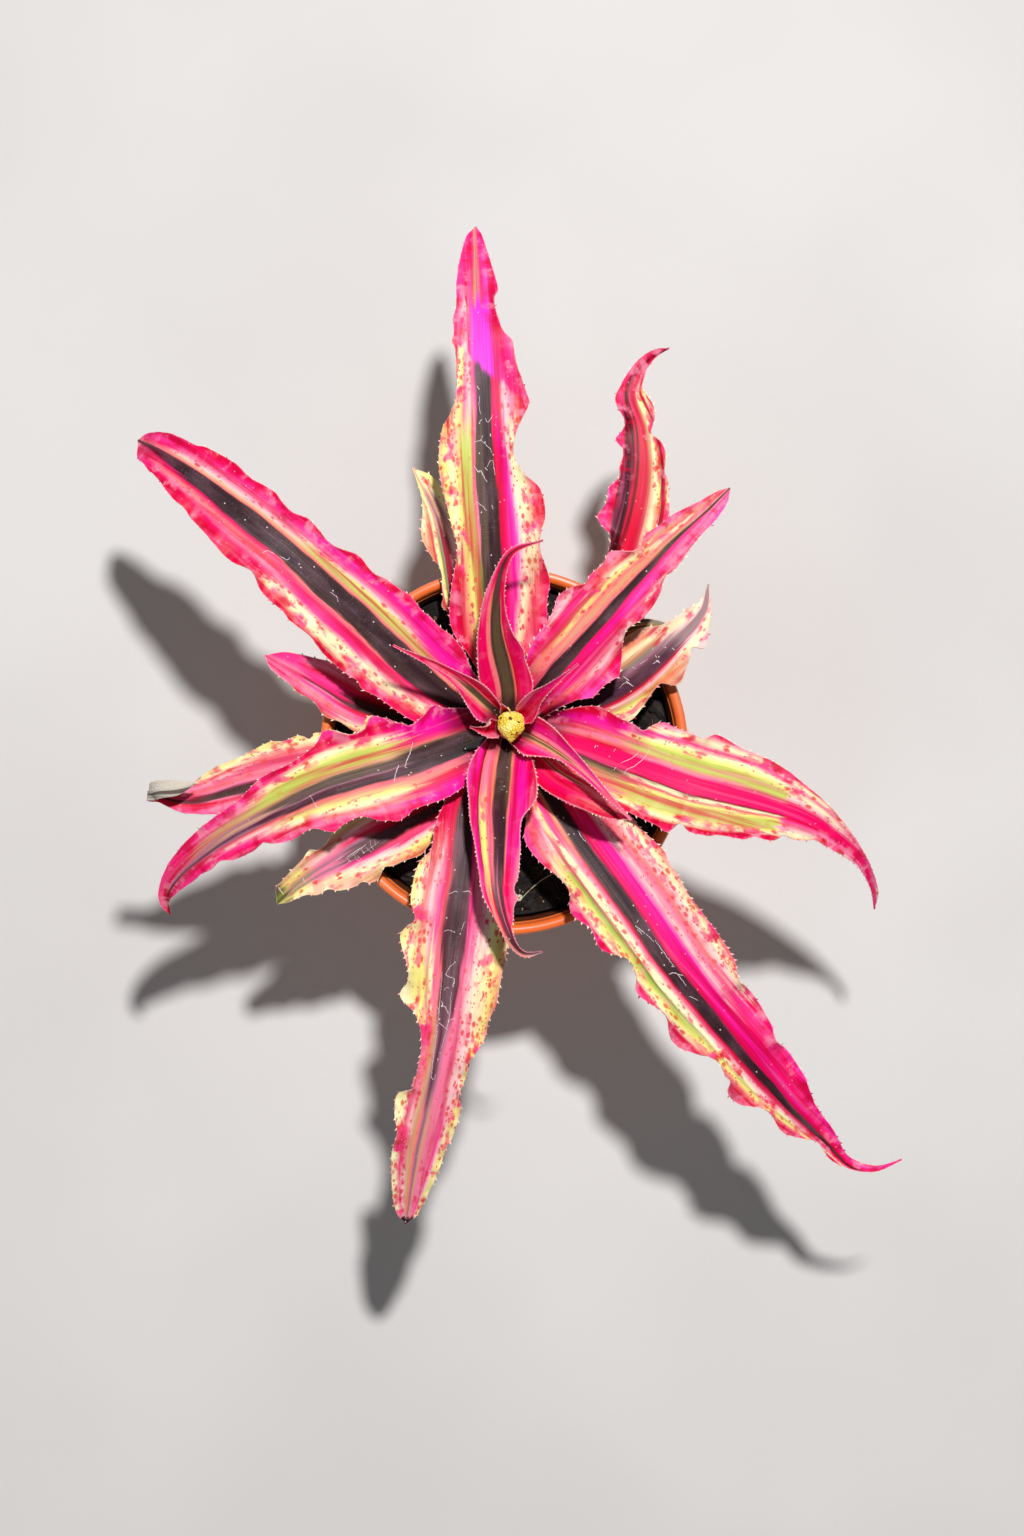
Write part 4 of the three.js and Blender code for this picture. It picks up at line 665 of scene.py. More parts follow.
LEAVES = {
    "leaf_long_back": dict(
        channel=(0.45, 0.1), ruffle=1, ripple=0.9,
        path="0 0 99.5, -3 20 106, -5 53 115.5, -7 91 119, -9 131 115, -10.5 162 104",
        left="""0 4, 19.2 6.8, 26.8 10.4, 31.1 13.4, 36.4 14.7, 46 13.6, 58 11, 66.6 12.7, 81.9 15.5,
        94.8 13.9, 98.7 11.2, 104.4 8.8, 119.3 8.4, 121.7 9.4, 124.5 8.5, 129.3 8.5, 133.1 7.4, 141.3 7,
        156.6 3.3, 160 0""",
        right="""0 4, 16.8 4.7, 29.2 14.3, 33.5 16.4, 40.2 16.9, 46.5 18.1, 56 15.4, 60.8 15.8, 66.6 17.8,
        75.2 16.3, 79.5 11.5, 86.2 8.4, 92.9 9.8, 101.5 14.5, 104.9 13.7, 114 10.8, 121.2 10, 123.6 7.7,
        126.9 6.1, 134.6 4.7, 137.5 6.1, 140.3 6, 157.1 1.8, 160 0"""),
    "leaf_long_back_left": dict(
        channel=(0.45, 0.1), ruffle=1, ripple=0.8,
        path="0 0 103.5, -22 13 111, -47 37 118, -73 60 121, -98 79 116, -113.5 89 109, -120.5 93 99",
        left="""0 4, 20.5 10.6, 26.3 14.1, 38 16, 43.3 17.7, 46.3 16.9, 49.2 17.9, 58.9 18.6, 67.2 17.2,
        75 17.9, 77.9 17.3, 87.7 16.9, 94 13.9, 101.3 15.5, 105.2 15.4, 111 14.1, 120.8 12.3, 125.2 10.8,
        130 10.4, 139.8 7.2, 143.2 6.9, 146.6 5.7, 151.4 5.1, 154.4 2, 157 0""",
        right="""0 4, 19.5 9.4, 27.8 13.4, 34.6 14.5, 39 14, 44.3 14.1, 46.7 13.6, 53.1 14.3, 57 13.3,
        60.9 12.9, 65.3 11.4, 72.6 12.2, 80.8 9.2, 90.6 10.6, 96.4 8.9, 101.3 9.5, 104.7 10.6, 113.5 9.4,
        119.3 10.3, 130 9.3, 133.4 8, 143.7 6.9, 151.4 4.4, 153.9 3.2, 157 0"""),
    "leaf_broad_back_right": dict(
        channel=(0.4, 0.16), ruffle=1, ripple=0.7,
        path="0 0 109, 18 20.5 116, 44 49 122, 71 76 123",
        left="""0 4, 16.8 7.9, 25.7 11.5, 34 12.6, 39 13.9, 42.4 15.5, 47.9 13.8, 51.3 11.6, 54.3 12.3,
        59.7 11.8, 63.6 12.7, 69.1 7, 75 8.4, 80.9 7.2, 86.8 6.3, 91.8 4.5, 100.6 2, 104 0""",
        right="""0 4, 14 7.8, 21.7 11, 26.1 14.4, 30.6 14.6, 34.5 15.6, 36.5 16.2, 48.3 8.1, 54.3 9.2,
        59.7 9.3, 64.6 8, 69.6 5.5, 74 6, 83.9 4.5, 95.2 3.8, 100.6 2.5, 104 0"""),
    "leaf_outer_back_right": dict(
        channel=(0.4, 0.2), ruffle=0.8, ripple=0.6,
        path="""0 0 99, 18 22 104, 32 42 108.5, 40 64 112, 43.5 84 112, 42.5 97 110.5, 39.5 107 108,
        41.5 113.5 107, 46 119 108, 52 122 110""",
        left="""0 2.6, 12 3, 38 5.5, 50.8 4.8, 56.7 2.8, 59.7 6.5, 62.6 5.3, 72 6, 75.4 10.9, 77.4 11.8,
        82.3 9.9, 87.3 10, 91.2 7.2, 95.2 7.3, 101.6 6.3, 106 8.4, 108.5 5.5, 112.9 4.1, 119.3 4.9,
        122.3 3.3, 137.1 1.4, 140.6 0""",
        right="""0 3, 12 3.5, 31.6 8.2, 77.4 11, 91.7 8.6, 94.7 7, 101.1 7, 103.5 5.4, 106 3.1, 110.5 5.2,
        114.9 6.1, 126.7 2.6, 140.6 0"""),
    "leaf_broad_right": dict(
        channel=(0.4, 0.1), ruffle=1, ripple=0.9,
        path="""0 0 104.5, 22 -5 112, 57 -17.5 121, 90 -27 117.5, 104 -34 111, 114.5 -43.5 102,
        119 -53.5 92, 120.5 -60 85""",
        left="""0 4, 14 7.6, 24.8 12.6, 32 11.4, 36.1 11.1, 40.1 10.3, 43.3 14.9, 47.3 14.9, 54.5 14.5,
        57.2 14, 60.8 16.8, 69 14.8, 79.8 12.9, 91 8.7, 102.8 5.1, 118.1 2.1, 132 2, 139.5 0""",
        right="""0 4, 16.2 9.1, 27.9 14, 46.9 16.1, 52.7 16.8, 55.4 17.7, 57.7 13.8, 61.3 15.5, 66.2 15,
        68.5 14, 77.1 13.2, 79.3 11.6, 85.2 11, 87.4 8.3, 91.9 8.1, 96.9 6.6, 99.1 5.1, 104.1 4.7,
        128.9 0.4, 139.5 0"""),
    "leaf_long_front_right": dict(
        channel=(0.4, 0.1), ruffle=1, ripple=0.9,
        path="""0 0 100, 18 -29 109, 37 -56 114, 54 -80 115, 72 -101 111, 90 -122 103, 104.5 -136.5 95,
        112 -144 92, 120 -145.5 91, 128.5 -141.5 94""",
        left="""0 4, 31.6 13.9, 42.6 15.9, 47.3 17.8, 50.7 17.9, 61.2 19.9, 64.1 18.8, 68.9 19, 76 18.3,
        91.8 18.7, 101.9 17.5, 107.6 14.2, 111 14.7, 115.7 14.7, 124.8 12.8, 129.6 10.6, 134.4 11.5,
        140.6 11.1, 146.3 10, 155.4 6.6, 167.4 4.4, 174.1 2.5, 182.2 2.6, 197 0""",
        right="""0 4, 24.4 7.9, 29.2 10.7, 34 14.8, 41.6 14.7, 50.7 12.1, 55.5 12.8, 57.9 15.4, 61.2 16,
        67.4 13.8, 74.6 14.8, 81.8 9.4, 87 10.4, 91.3 13.6, 100.9 10.8, 108.1 14.6, 112.9 14.1, 119.6 9.1,
        124.3 7.9, 128.2 9.1, 131 9.1, 133.4 12, 136.3 12.5, 139.2 11.4, 145.4 6.2, 155.4 7.3, 165.5 2,
        172.7 2.8, 180.8 0.6, 197 0"""),
    "leaf_long_front": dict(
        channel=(0.4, 0.1), ruffle=1, ripple=0.9,
        path="""0 0 103, -12 -23 110, -14 -41 114, -17 -66 117, -20 -90 116, -24 -113 111, -29 -135 103,
        -33.5 -163 90""",
        left="""0 4, 47.5 10.3, 55 12.3, 59.7 17.5, 63.5 18, 66.8 18.7, 69.6 17.2, 72.9 17.2, 78.1 16.5,
        87 15.9, 92.2 14.3, 96.4 14.2, 101.6 12.1, 104.4 10.3, 110.1 10.3, 115.7 9.2, 119.5 10.8,
        124.7 10.9, 130.8 10.4, 133.6 9.2, 141.6 8.2, 159.9 3.2, 163.7 0""",
        right="""0 4, 16.5 5.7, 24.5 6.3, 35.8 10.1, 43.3 10.9, 47.5 14.1, 53.6 15.3, 59.3 15.3, 64.9 13.2,
        68.2 16.6, 70.6 17.3, 80 13.4, 84.2 13.4, 86.6 14.9, 89.4 14.6, 93.1 9.2, 100.7 6, 112 5.4, 114.8 6,
        117.1 5.7, 120.4 9.9, 123.3 10.4, 127 9.6, 132.2 7.4, 139.7 8, 153.4 5.7, 160.4 3.4, 163.7 0"""),
    "leaf_broad_left": dict(
        channel=(0.4, 0.1), ruffle=1, ripple=0.9,
        path="""0 0 108, -28 -11 117, -60 -21 122, -88 -35 116, -103 -45.5 107, -110.5 -54.5 99,
        -110.5 -61.5 93""",
        left="""0 5, 23.8 13.8, 35.2 14.4, 37.1 15.6, 40.3 16.7, 42.5 15.7, 44.8 15.2, 50.3 12, 56.7 12.6,
        60.8 13.7, 66.3 10, 73.2 10.4, 78.7 9, 81.4 6.8, 86 7.6, 93.3 6.9, 97 4.7, 101.1 5.1, 106.6 4.3,
        110.3 4.3, 119.4 2.2, 124 0.4, 129 0""",
        right="""0 5, 13 11, 17.4 12.8, 20.1 14.9, 24.2 12.9, 29.3 11.3, 31.1 12.7, 33.9 14.2, 38.9 18.2,
        42.5 14.6, 47.6 14.1, 51.7 17.4, 53.5 17.8, 55.4 15.6, 57.2 14.1, 64.5 11.9, 73.7 11.9, 82.8 8.9,
        103.4 6.9, 125.4 2.3, 129 0"""),
    "leaf_under_left": dict(
        channel=(0.4, 0.14), ruffle=0.8, ripple=0.6,
        path="""0 0 98.5, -35 -8 106, -81 -18 107.5, -98 -22.6 105.5, -106 -23.2 105, -112 -22 106,
        -115.3 -21.2 109.5, -112.8 -20.4 113.2, -107 -20 114.6, -100.5 -18.5 113.8""",
        left="""0 3.5, 40 9, 80 9, 93 7.4, 98.7 6.8, 104 5.5, 108 5, 111.7 3.9, 116.5 2.8, 120.6 3.3,
        125 3.1, 131 2.5, 135 1.3, 137.9 0""",
        right="""0 3.5, 12.5 7.4, 14.5 8.9, 20 10.1, 26 7.7, 31.5 7, 34 8.5, 37 9.6, 38.9 11.3, 40.9 11.9,
        43.4 13.2, 45.4 12.2, 47.4 9.5, 49.9 8.4, 52.4 8.6, 57.9 11.5, 59.9 10.8, 62.4 11.4, 64.4 9.8,
        67.9 11.7, 72.9 10.8, 77.4 11.6, 86.4 9.2, 94.4 8.3, 98.7 7.4, 103.5 5.5, 107.5 3.6, 111.7 2.1,
        116 1.9, 120.6 2.2, 125 2.7, 131 2.5, 135 1.3, 137.9 0"""),
    "leaf_old_left": dict(
        channel=(0.4, 0.14), ruffle=0.8, ripple=0.5,
        path="0 0 94.5, -22 -1 98, -47 5 102.5, -63 14 104.5, -79 23 101",
        left="""0 2.8, 12 3.2, 26 6.1, 47.1 7.3, 52.5 6.4, 56.9 7.3, 62.8 5.1, 68.7 5.2, 71.2 4.4, 80.5 2.7,
        84 0""",
        right="0 2.8, 12 3.2, 30 7.5, 52 9.3, 63 8.8, 73 6.1, 79 4, 84 0"),
    "leaf_old_front_left": dict(
        channel=(0.4, 0.14), ruffle=0.8, ripple=0.5,
        path="0 0 94.5, -17 -22 100, -36 -33 104.5, -51 -41 106, -66 -50 103.5, -75.2 -57.8 99.6",
        left="""0 2.8, 12 3.2, 39.8 8.9, 43.7 10.1, 46.2 11.4, 52.1 10.5, 56 10.2, 58.5 9.3, 61.9 11.9,
        64.9 11.6, 66.8 10.1, 69.3 10.3, 74.7 8.9, 77.6 6.7, 81.6 6.3, 85.5 4, 91.9 2, 95 0""",
        right="""0 2.8, 12 3.2, 29.5 7.9, 56 10.5, 64.9 9.4, 71.7 5.9, 74.2 6, 76.6 7.3, 79.6 5.9, 84.5 5,
        89.4 4.3, 91.4 4.2, 95 0"""),
    "leaf_old_right": dict(
        channel=(0.4, 0.14), ruffle=0.8, ripple=0.5,
        path="0 0 94.5, 30 9 102, 42 16 105, 54 27 107, 63 37 106, 65 46 105",
        left="0 3, 12 3.5, 25 8, 40 12, 51 12.4, 58 10.5, 63 6.6, 69.2 5.4, 74 4.2, 79.5 1.2, 84 0",
        right="""0 3, 12 4, 23.1 7.9, 32.9 9.8, 37.3 10.6, 49.6 6.2, 53 10.4, 56.4 9.6, 62.3 6.3, 64.6 4.9,
        66.9 7.8, 71.2 5.5, 75.1 2.7, 79 1.3, 84 0"""),
    "leaf_old_back_left": dict(
        channel=(0.4, 0.14), ruffle=0.8, ripple=0.5,
        path="0 0 94.5, -12 21 101, -18 40 105, -20.5 55 106, -23.5 68 104, -31 84 100",
        left="""0 2.8, 18.5 7.5, 23.9 5, 29.3 3.9, 33.7 2.3, 41.5 2.1, 43.9 3.7, 46.4 2.6, 49.8 2.4,
        53.2 1.9, 56.6 2.4, 58.6 3.8, 67.3 6.1, 79.5 1.8, 90 0""",
        right="0 2.8, 25 7, 45 9, 65 8, 78 5.5, 85 4.2, 90 0"),
    "leaf_old_curled": dict(
        channel=(0.4, 0.25), ruffle=0.8, ripple=0.4,
        path="0 0 93.2, 20 19 96.2, 35 27.5 101.5, 43 30.2 104, 49 30.9 104.8, 55 29.6 104",
        left="0 3, 20 4, 35 5, 45 5, 53 4.6, 58 3.7, 62 2.4, 66 0",
        right="0 3, 20 4, 35 4.5, 45 4.5, 53 4, 60 2.5, 66 0"),
    "leaf_inner_back": dict(
        channel=(0.55, 0.4), ruffle=0.6, ripple=0.3,
        path="0 0 112, 0 12 118, -3.5 29 129, -3 43 137, 1 54 143, 11 58 146",
        left="0 4, 13 7.5, 19 8.4, 28 6.7, 36 5.1, 44 3.6, 51 2, 58 1.2, 66 0",
        right="0 4, 10 7, 14 7.9, 21 7.1, 25 7.3, 31 5, 38 3, 48 1.6, 56 1, 66 0"),
    "leaf_inner_front": dict(
        channel=(0.5, 0.35), ruffle=0.6, ripple=0.3,
        path="0 0 111.5, -2.5 -15 119, -3.5 -36 130, -3 -53 136, 1 -67 137, 5 -72 136, 11 -72 135.5",
        left="""0 4, 8 6.5, 13 10, 25.6 12.1, 32.6 7.7, 43.3 7.3, 51.3 6.5, 53.6 5.1, 55.9 5.1, 57.8 5.7,
        59.7 4, 63.9 2.4, 66.2 1.1, 80 0""",
        right="""0 4, 7 6, 12 8.5, 19 10.3, 27 9.2, 33 8.6, 41 6.8, 50 5.4, 55 4.9, 62 2.9, 70 1.8, 76 1.2,
        80 0"""),
    "leaf_under_front_right": dict(
        channel=(0.6, 0.5), ruffle=0.4, ripple=0.2,
        path="0 0 108.5, 13 -16 117, 26 -23 125, 39 -30 131.5",
        left="0 2.8, 8 3, 18 5, 30 4.5, 40 2.5, 50 0",
        right="0 2.8, 8 3, 16 4, 27 4.3, 34 4.4, 44 3, 50 0"),
    "leaf_inner_left": dict(
        channel=(0.7, 0.8), ruffle=0.3, ripple=0.1,
        path="0 0 115.3, -7 5.8 120.9, -19 16 131, -36 25 145",
        left="0 2.4, 6 3.4, 10 4.6, 14 3.7, 20 1.8, 30 0.8, 44 0",
        right="0 2.4, 6 3.2, 10 4.2, 16 4.6, 24 2.4, 33 1.3, 44 0"),
    "leaf_inner_front_right": dict(
        channel=(0.6, 0.6), ruffle=0.3, ripple=0.1,
        path="0 0 113.5, 13 -6.5 122.5, 25 -16 132, 39 -30 139",
        left="0 3.5, 6 5.5, 9 6.4, 14 5.8, 21 4, 28 2.7, 36 1.4, 49.6 0",
        right="0 3.5, 6 5, 11 6.2, 15 4.7, 20 2.2, 27 1.2, 40 0.9, 49.6 0"),
    "leaf_heart_back_right": dict(
        channel=(0.7, 0.8), ruffle=0, ripple=0,
        path="0 0 119, 4.5 3 121, 7 5.5 127, 11 10 134, 22 19 146",
        left="0 1.8, 5 2.1, 9 3.4, 14 3.2, 19 1.3, 29.4 0",
        right="0 1.8, 5 2.6, 9 3.4, 14 1.8, 20 0.9, 29.4 0"),
    "leaf_heart_left": dict(
        channel=(0.7, 0.8), ruffle=0, ripple=0,
        path="0 0 119, -5 -1.2 121, -7.5 -1.8 127, -12 -0.6 132",
        left="0 1.8, 4 2.8, 6 3, 8 1.6, 12 0",
        right="0 1.8, 4 2.8, 6 3, 8 1.6, 12 0"),
    "leaf_heart_back": dict(
        channel=(0.7, 0.8), ruffle=0, ripple=0,
        path="0 0 119.7, -0.8 4.4 121.2, -1.3 5.6 125.5, -2 6.6 129",
        left="0 1.4, 4 1.7, 7 1.2, 9 0",
        right="0 1.4, 4 1.7, 7 1.2, 9 0"),
}
for leaf in LEAVES.values():
    for key in ("path", "left", "right"):
        leaf[key] = table(leaf[key])
PLANT_AXIS = np.array([1.3, 8.1, 0.0])
print("leaves:", len(LEAVES))

# %% [markdown]
# A smooth curve runs through each table. The stem that the leaves grow from is a plain taper.

# %% Curves
STEM_RADIUS_LOW, STEM_RADIUS_HIGH = 7.5, 3.4
STEM_TAPER_START, STEM_TOP = 94, 121.5


def smooth(rows, at):
    """Cubic pieces with central slopes through rows of [position, value...]."""
    rows = np.array(rows, float)
    places, values = rows[:, 0], rows[:, 1:]
    last = len(rows) - 1
    before, after = np.maximum(np.arange(last + 1) - 1, 0), np.minimum(np.arange(last + 1) + 1, last)
    slopes = (values[after] - values[before]) / (places[after] - places[before])[:, None]
    at = np.atleast_1d(at).astype(float)
    i = np.clip(np.searchsorted(places, at, side="left") - 1, 0, last - 1)
    span = (places[i + 1] - places[i])[:, None]
    t = np.clip((at - places[i])[:, None] / span, 0, 1)
    return (values[i] * (2 * t**3 - 3 * t**2 + 1) + slopes[i] * span * (t**3 - 2 * t**2 + t)
            + values[i + 1] * (3 * t**2 - 2 * t**3) + slopes[i + 1] * span * (t**3 - t**2))


def soft_step(value, low, high):
    t = np.clip((value - low) / (high - low), 0, 1)
    return t * t * (3 - 2 * t)


def unit(vectors):
    return vectors / np.maximum(np.linalg.norm(vectors, axis=-1, keepdims=True), 1e-9)


def stem_radius(z):
    share = np.clip((z - STEM_TAPER_START) / (STEM_TOP - STEM_TAPER_START), 0, 1)
    return STEM_RADIUS_LOW + (STEM_RADIUS_HIGH - STEM_RADIUS_LOW) * share


print("stem radius at the rim, mm:", round(float(stem_radius(RIM_HEIGHT)), 2))

# %% [markdown]
# From these curves comes the place of any point of a leaf's upper face: a distance along the midrib,
# and a share of the half width to one side. The edges ruffle where they are pulled in or out, and
# they ripple and crinkle a little everywhere but at the base. A leaf starts just inside the stem.

# %% The blade's face
WAVE_LENGTH, WAVE_OFFSET, RUFFLE_REACH = 22, 1.3, 12
RUFFLE_START, RUFFLE_FULL, RUFFLE_WIDTH = 18, 50, 14
CRINKLE, CRINKLE_START, CRINKLE_FULL = 0.34, 16, 45
TOO_STEEP = 0.35
ROOTED = 0.4


class Blade:
    """One leaf's upper face, as the solids have it, with small crinkles added near the edges."""

    def __init__(self, leaf, seed):
        points = np.array(leaf["path"], float)
        steps = np.r_[0, np.cumsum(np.linalg.norm(np.diff(points, axis=0), axis=1))]
        self.leaf, self.length, self.seed = leaf, steps[-1], seed
        self.rows = np.c_[steps, points]
        self.stretch = self.length / leaf["left"][-1][0]
        # Where the midrib stands too steeply to tell left from right, the last clear answer is kept.
        across, rows = None, []
        for s in np.arange(0, self.length + 1e-9, 1.0):
            level = np.cross([0, 0, 1], self.heading(s)[0])
            size = np.linalg.norm(level)
            if across is None:
                across = level / size
            elif size >= TOO_STEEP:
                across = (level if level @ across >= 0 else -level) / size
            rows.append([s, *across])
        self.across_rows = rows
        s = self.base = 0.0
        while self.inside_stem(s):
            s = self.base = s + 0.1

    def inside_stem(self, s):
        x, y, z = self.rib(s)[0]
        return math.hypot(x, y) < stem_radius(z) - ROOTED

    def rib(self, s):
        return smooth(self.rows, s)

    def heading(self, s):
        return unit(self.rib(np.minimum(s + 0.5, self.length)) - self.rib(np.maximum(s - 0.5, 0)))

    def half_width(self, side, s):
        left = smooth(self.leaf["left"], s / self.stretch)[:, 0]
        right = smooth(self.leaf["right"], s / self.stretch)[:, 0]
        return np.maximum(np.where(side > 0, left, right), 0.3)

    def edge_lift(self, side, s):
        width = self.half_width(side, s)
        mean = sum(self.half_width(side, s + step * RUFFLE_REACH) for step in (-1, -0.5, 0, 0.5, 1)) / 5
        wave = np.sin(2 * np.pi * s / WAVE_LENGTH + side * WAVE_OFFSET)
        strength = np.minimum(width / RUFFLE_WIDTH, 1) * soft_step(s, RUFFLE_START, RUFFLE_FULL)
        return (self.leaf["ruffle"] * (mean - width) + self.leaf["ripple"] * wave) * strength

    def crinkle(self, side, s):
        """Short uneven waves that gather the last few millimetres of the edge."""
        phase = self.seed * 1.7 + side
        wave = np.sin(s * 0.86 + phase + 1.3 * np.sin(s * 0.21 + phase)) + 0.5 * np.sin(s * 1.73 + 2 * phase)
        calm = soft_step(s, CRINKLE_START, CRINKLE_FULL) * soft_step(self.length - s, 2, 14)
        return CRINKLE * wave * calm * np.clip(self.half_width(side, s) / 9, 0, 1)

    def place(self, s, u):
        """Points on the upper face for arrays s (mm along) and u (-1 right edge to 1 left edge)."""
        side = np.where(u < 0, -1, 1)
        width = self.half_width(side, s)[:, None]
        sideways = unit(smooth(self.across_rows, s))
        normal = unit(np.cross(self.heading(s), sideways))
        opened = soft_step(s, 5, self.length * 0.35)[:, None]
        near, far = self.leaf["channel"]
        reach = np.abs(u)[:, None]
        rise = (near + (far - near) * opened) * width * reach**2
        rise = rise + self.edge_lift(side, s)[:, None] * reach**3 + self.crinkle(side, s)[:, None] * reach**7
        return PLANT_AXIS + self.rib(s) + sideways * u[:, None] * width + normal * rise

    def mean_width(self, side, s):
        """The half width without its waves, which the stripes are measured by."""
        reach = np.arange(-36, 37, 2.0)
        weight = np.exp(-0.5 * (reach / 12) ** 2)
        total = sum(w * np.where(s + r > self.length, 0, self.half_width(side, np.maximum(s + r, 0)))
                    for r, w in zip(reach, weight))
        return np.maximum(total / weight.sum(), 0.4)


print("blade lengths, mm:", [round(Blade(leaf, 0).length) for leaf in LEAVES.values()][:6], "...")

# %% [markdown]
# ## Modelling the blades
# Every piece is made with the same few moves: select, join, shade smooth, apply a modifier, edit, and
# keep a number at each point. They get short names here.

# %% Small tools for every piece
def select_only(piece, *others):
    """Selects these pieces only, and makes the first the active one."""
    bpy.ops.object.select_all(action="DESELECT")
    for each in (piece, *others):
        each.select_set(True)
    bpy.context.view_layer.objects.active = piece


def join(piece, *others):
    """Makes the other pieces part of the first."""
    select_only(piece, *others)
    if others:
        bpy.ops.object.join()


def soften(piece, degrees):
    """Shades a piece smooth, except over edges that are sharper than this."""
    select_only(piece)
    bpy.ops.object.shade_smooth_by_angle(angle=math.radians(degrees))


def apply_modifier(piece, kind, **settings):
    select_only(piece)
    modifier = piece.modifiers.new(kind.lower(), kind)
    for key, value in settings.items():
        setattr(modifier, key, value)
    bpy.ops.object.modifier_apply(modifier=modifier.name)


def edit(piece):
    """Opens a piece in edit mode with all of it selected."""
    select_only(piece)
    bpy.ops.object.mode_set(mode="EDIT")
    bpy.ops.mesh.select_all(action="SELECT")


def leave_edit():
    bpy.ops.object.mode_set(mode="OBJECT")


def leave_facing_out():
    """Turns every face outwards, and closes edit mode."""
    bpy.ops.mesh.select_all(action="SELECT")
    bpy.ops.mesh.normals_make_consistent(inside=False)
    leave_edit()


def new_piece(name, points, faces):
    mesh = bpy.data.meshes.new(name)
    mesh.from_pydata(points, [], faces)
    mesh.update()
    piece = bpy.data.objects.new(name, mesh)
    bpy.context.scene.collection.objects.link(piece)
    return piece


def take_shape(piece):
    """A piece's points and faces; the piece itself is cleared away."""
    points = np.array([v.co[:] for v in piece.data.vertices])
    faces = [tuple(f.vertices) for f in piece.data.polygons]
    bpy.data.objects.remove(piece)
    return points, faces


def note(piece, label, values):
    """Keeps one number for each point of a piece, for its material to read."""
    numbers = piece.data.attributes.new(label, "FLOAT", "POINT")
    numbers.data.foreach_set("value", np.asarray(values, np.float32))


print("tools are ready")

# %% [markdown]
# A blade starts as a flat grid. Hand tools can't lay it along a measured midrib, so its points are
# moved by the curves above, and its columns stand closer together towards the edges, where it
# crinkles. Two maps are kept on it: "stripes" runs from base to tip and from edge to edge, and
# "true_size" counts in tenths of a metre, so that freckles and streaks have one size on every leaf.
# Solidify then gives the blade its thickness: thick at the midrib, thin at the edges.

# %% A blade's skin
RIB_THICKNESS, EDGE_THICKNESS = 1.6, 0.42
ROW_STEP, COLUMNS = 0.8, 26
BUNCHED = 0.3


def blade_skin(name, blade):
    rows = int((blade.length - blade.base) / ROW_STEP)
    bpy.ops.object.select_all(action="DESELECT")
    bpy.ops.mesh.primitive_grid_add(x_subdivisions=rows, y_subdivisions=COLUMNS, size=1)
    piece = bpy.context.object
    piece.name = name + "_blade"
    mesh = piece.data
    flat = np.zeros(len(mesh.vertices) * 3)
    mesh.vertices.foreach_get("co", flat)
    flat = flat.reshape(-1, 3)
    s = blade.base + (flat[:, 0] + 0.5) * (blade.length - blade.base)
    u = BUNCHED * np.sin(np.pi * flat[:, 1]) + (1 - BUNCHED) * 2 * flat[:, 1]
    mesh.vertices.foreach_set("co", (blade.place(s, u) * MM).ravel())

    side = np.where(u < 0, -1, 1)
    width = blade.half_width(side, s)
    stripe = 0.5 + 0.5 * (u * width / blade.mean_width(side, s)) / STRIPE_REACH
    maps = {"stripes": np.c_[s / blade.length, stripe],
            "true_size": np.c_[s / 100, u * width / 100 + 1.7 * blade.seed]}
    corner = np.zeros(len(mesh.loops), int)
    mesh.loops.foreach_get("vertex_index", corner)
    while mesh.uv_layers:
        mesh.uv_layers.remove(mesh.uv_layers[0])
    for label, values in maps.items():
        mesh.uv_layers.new(name=label).data.foreach_set("uv", values[corner].ravel())
    note(piece, "edge_mm", (1 - np.abs(u)) * width)
    thick = piece.vertex_groups.new(name="thick")
    slim = np.clip(width / 5, 0.35, 1)
    share = (EDGE_THICKNESS + (RIB_THICKNESS - EDGE_THICKNESS) * (1 - np.abs(u))) / RIB_THICKNESS * slim
    for index, weight in enumerate(share):
        thick.add([index], float(weight), "REPLACE")
    return piece


print("points across a blade:", COLUMNS + 1)

# %% [markdown]
# Teeth sit on both edges, closer together on the young leaves. One tooth is modelled as a small cone
# that leans towards the leaf's tip, and every tooth is a copy of it, turned into place and sunk a
# little into the edge.

# %% One tooth, and a row of its copies
TOOTH_SINK, TOOTH_LEAN = 0.35, 0.6
TOOTH_SIZES = (0.5, 0.75, 0.9, 1.0, 1.3)
TEETH_BASE_GAP, TEETH_TIP_GAP = 4, 3.5
TEETH_STOP = {"leaf_under_left": 93.0}

bpy.ops.mesh.primitive_cone_add(vertices=5, radius1=0.5, depth=1, location=(0, 0, 0.5), end_fill_type="NGON")
tooth = bpy.context.object
select_only(tooth)
bpy.ops.object.transform_apply(location=True)
edit(tooth)
bpy.ops.transform.resize(value=(1.0, 0.5, 1.0))
leave_edit()
TOOTH_POINTS, TOOTH_FACES = take_shape(tooth)
TOOTH_POINTS[:, 0] += 0.45 * TOOTH_POINTS[:, 2] ** 2


def copies(name, shape, faces, frames):
    """One mesh made of copies of a shape; a frame is (place, three directions scaled to size)."""
    places = np.array([f[0] for f in frames])
    turns = np.array([f[1] for f in frames])
    points = np.einsum("pk,nkc->npc", shape, turns) + places[:, None, :]
    count = len(shape)
    all_faces = [tuple(i + n * count for i in face) for n in range(len(frames)) for face in faces]
    return new_piece(name, points.reshape(-1, 3).tolist(), all_faces)


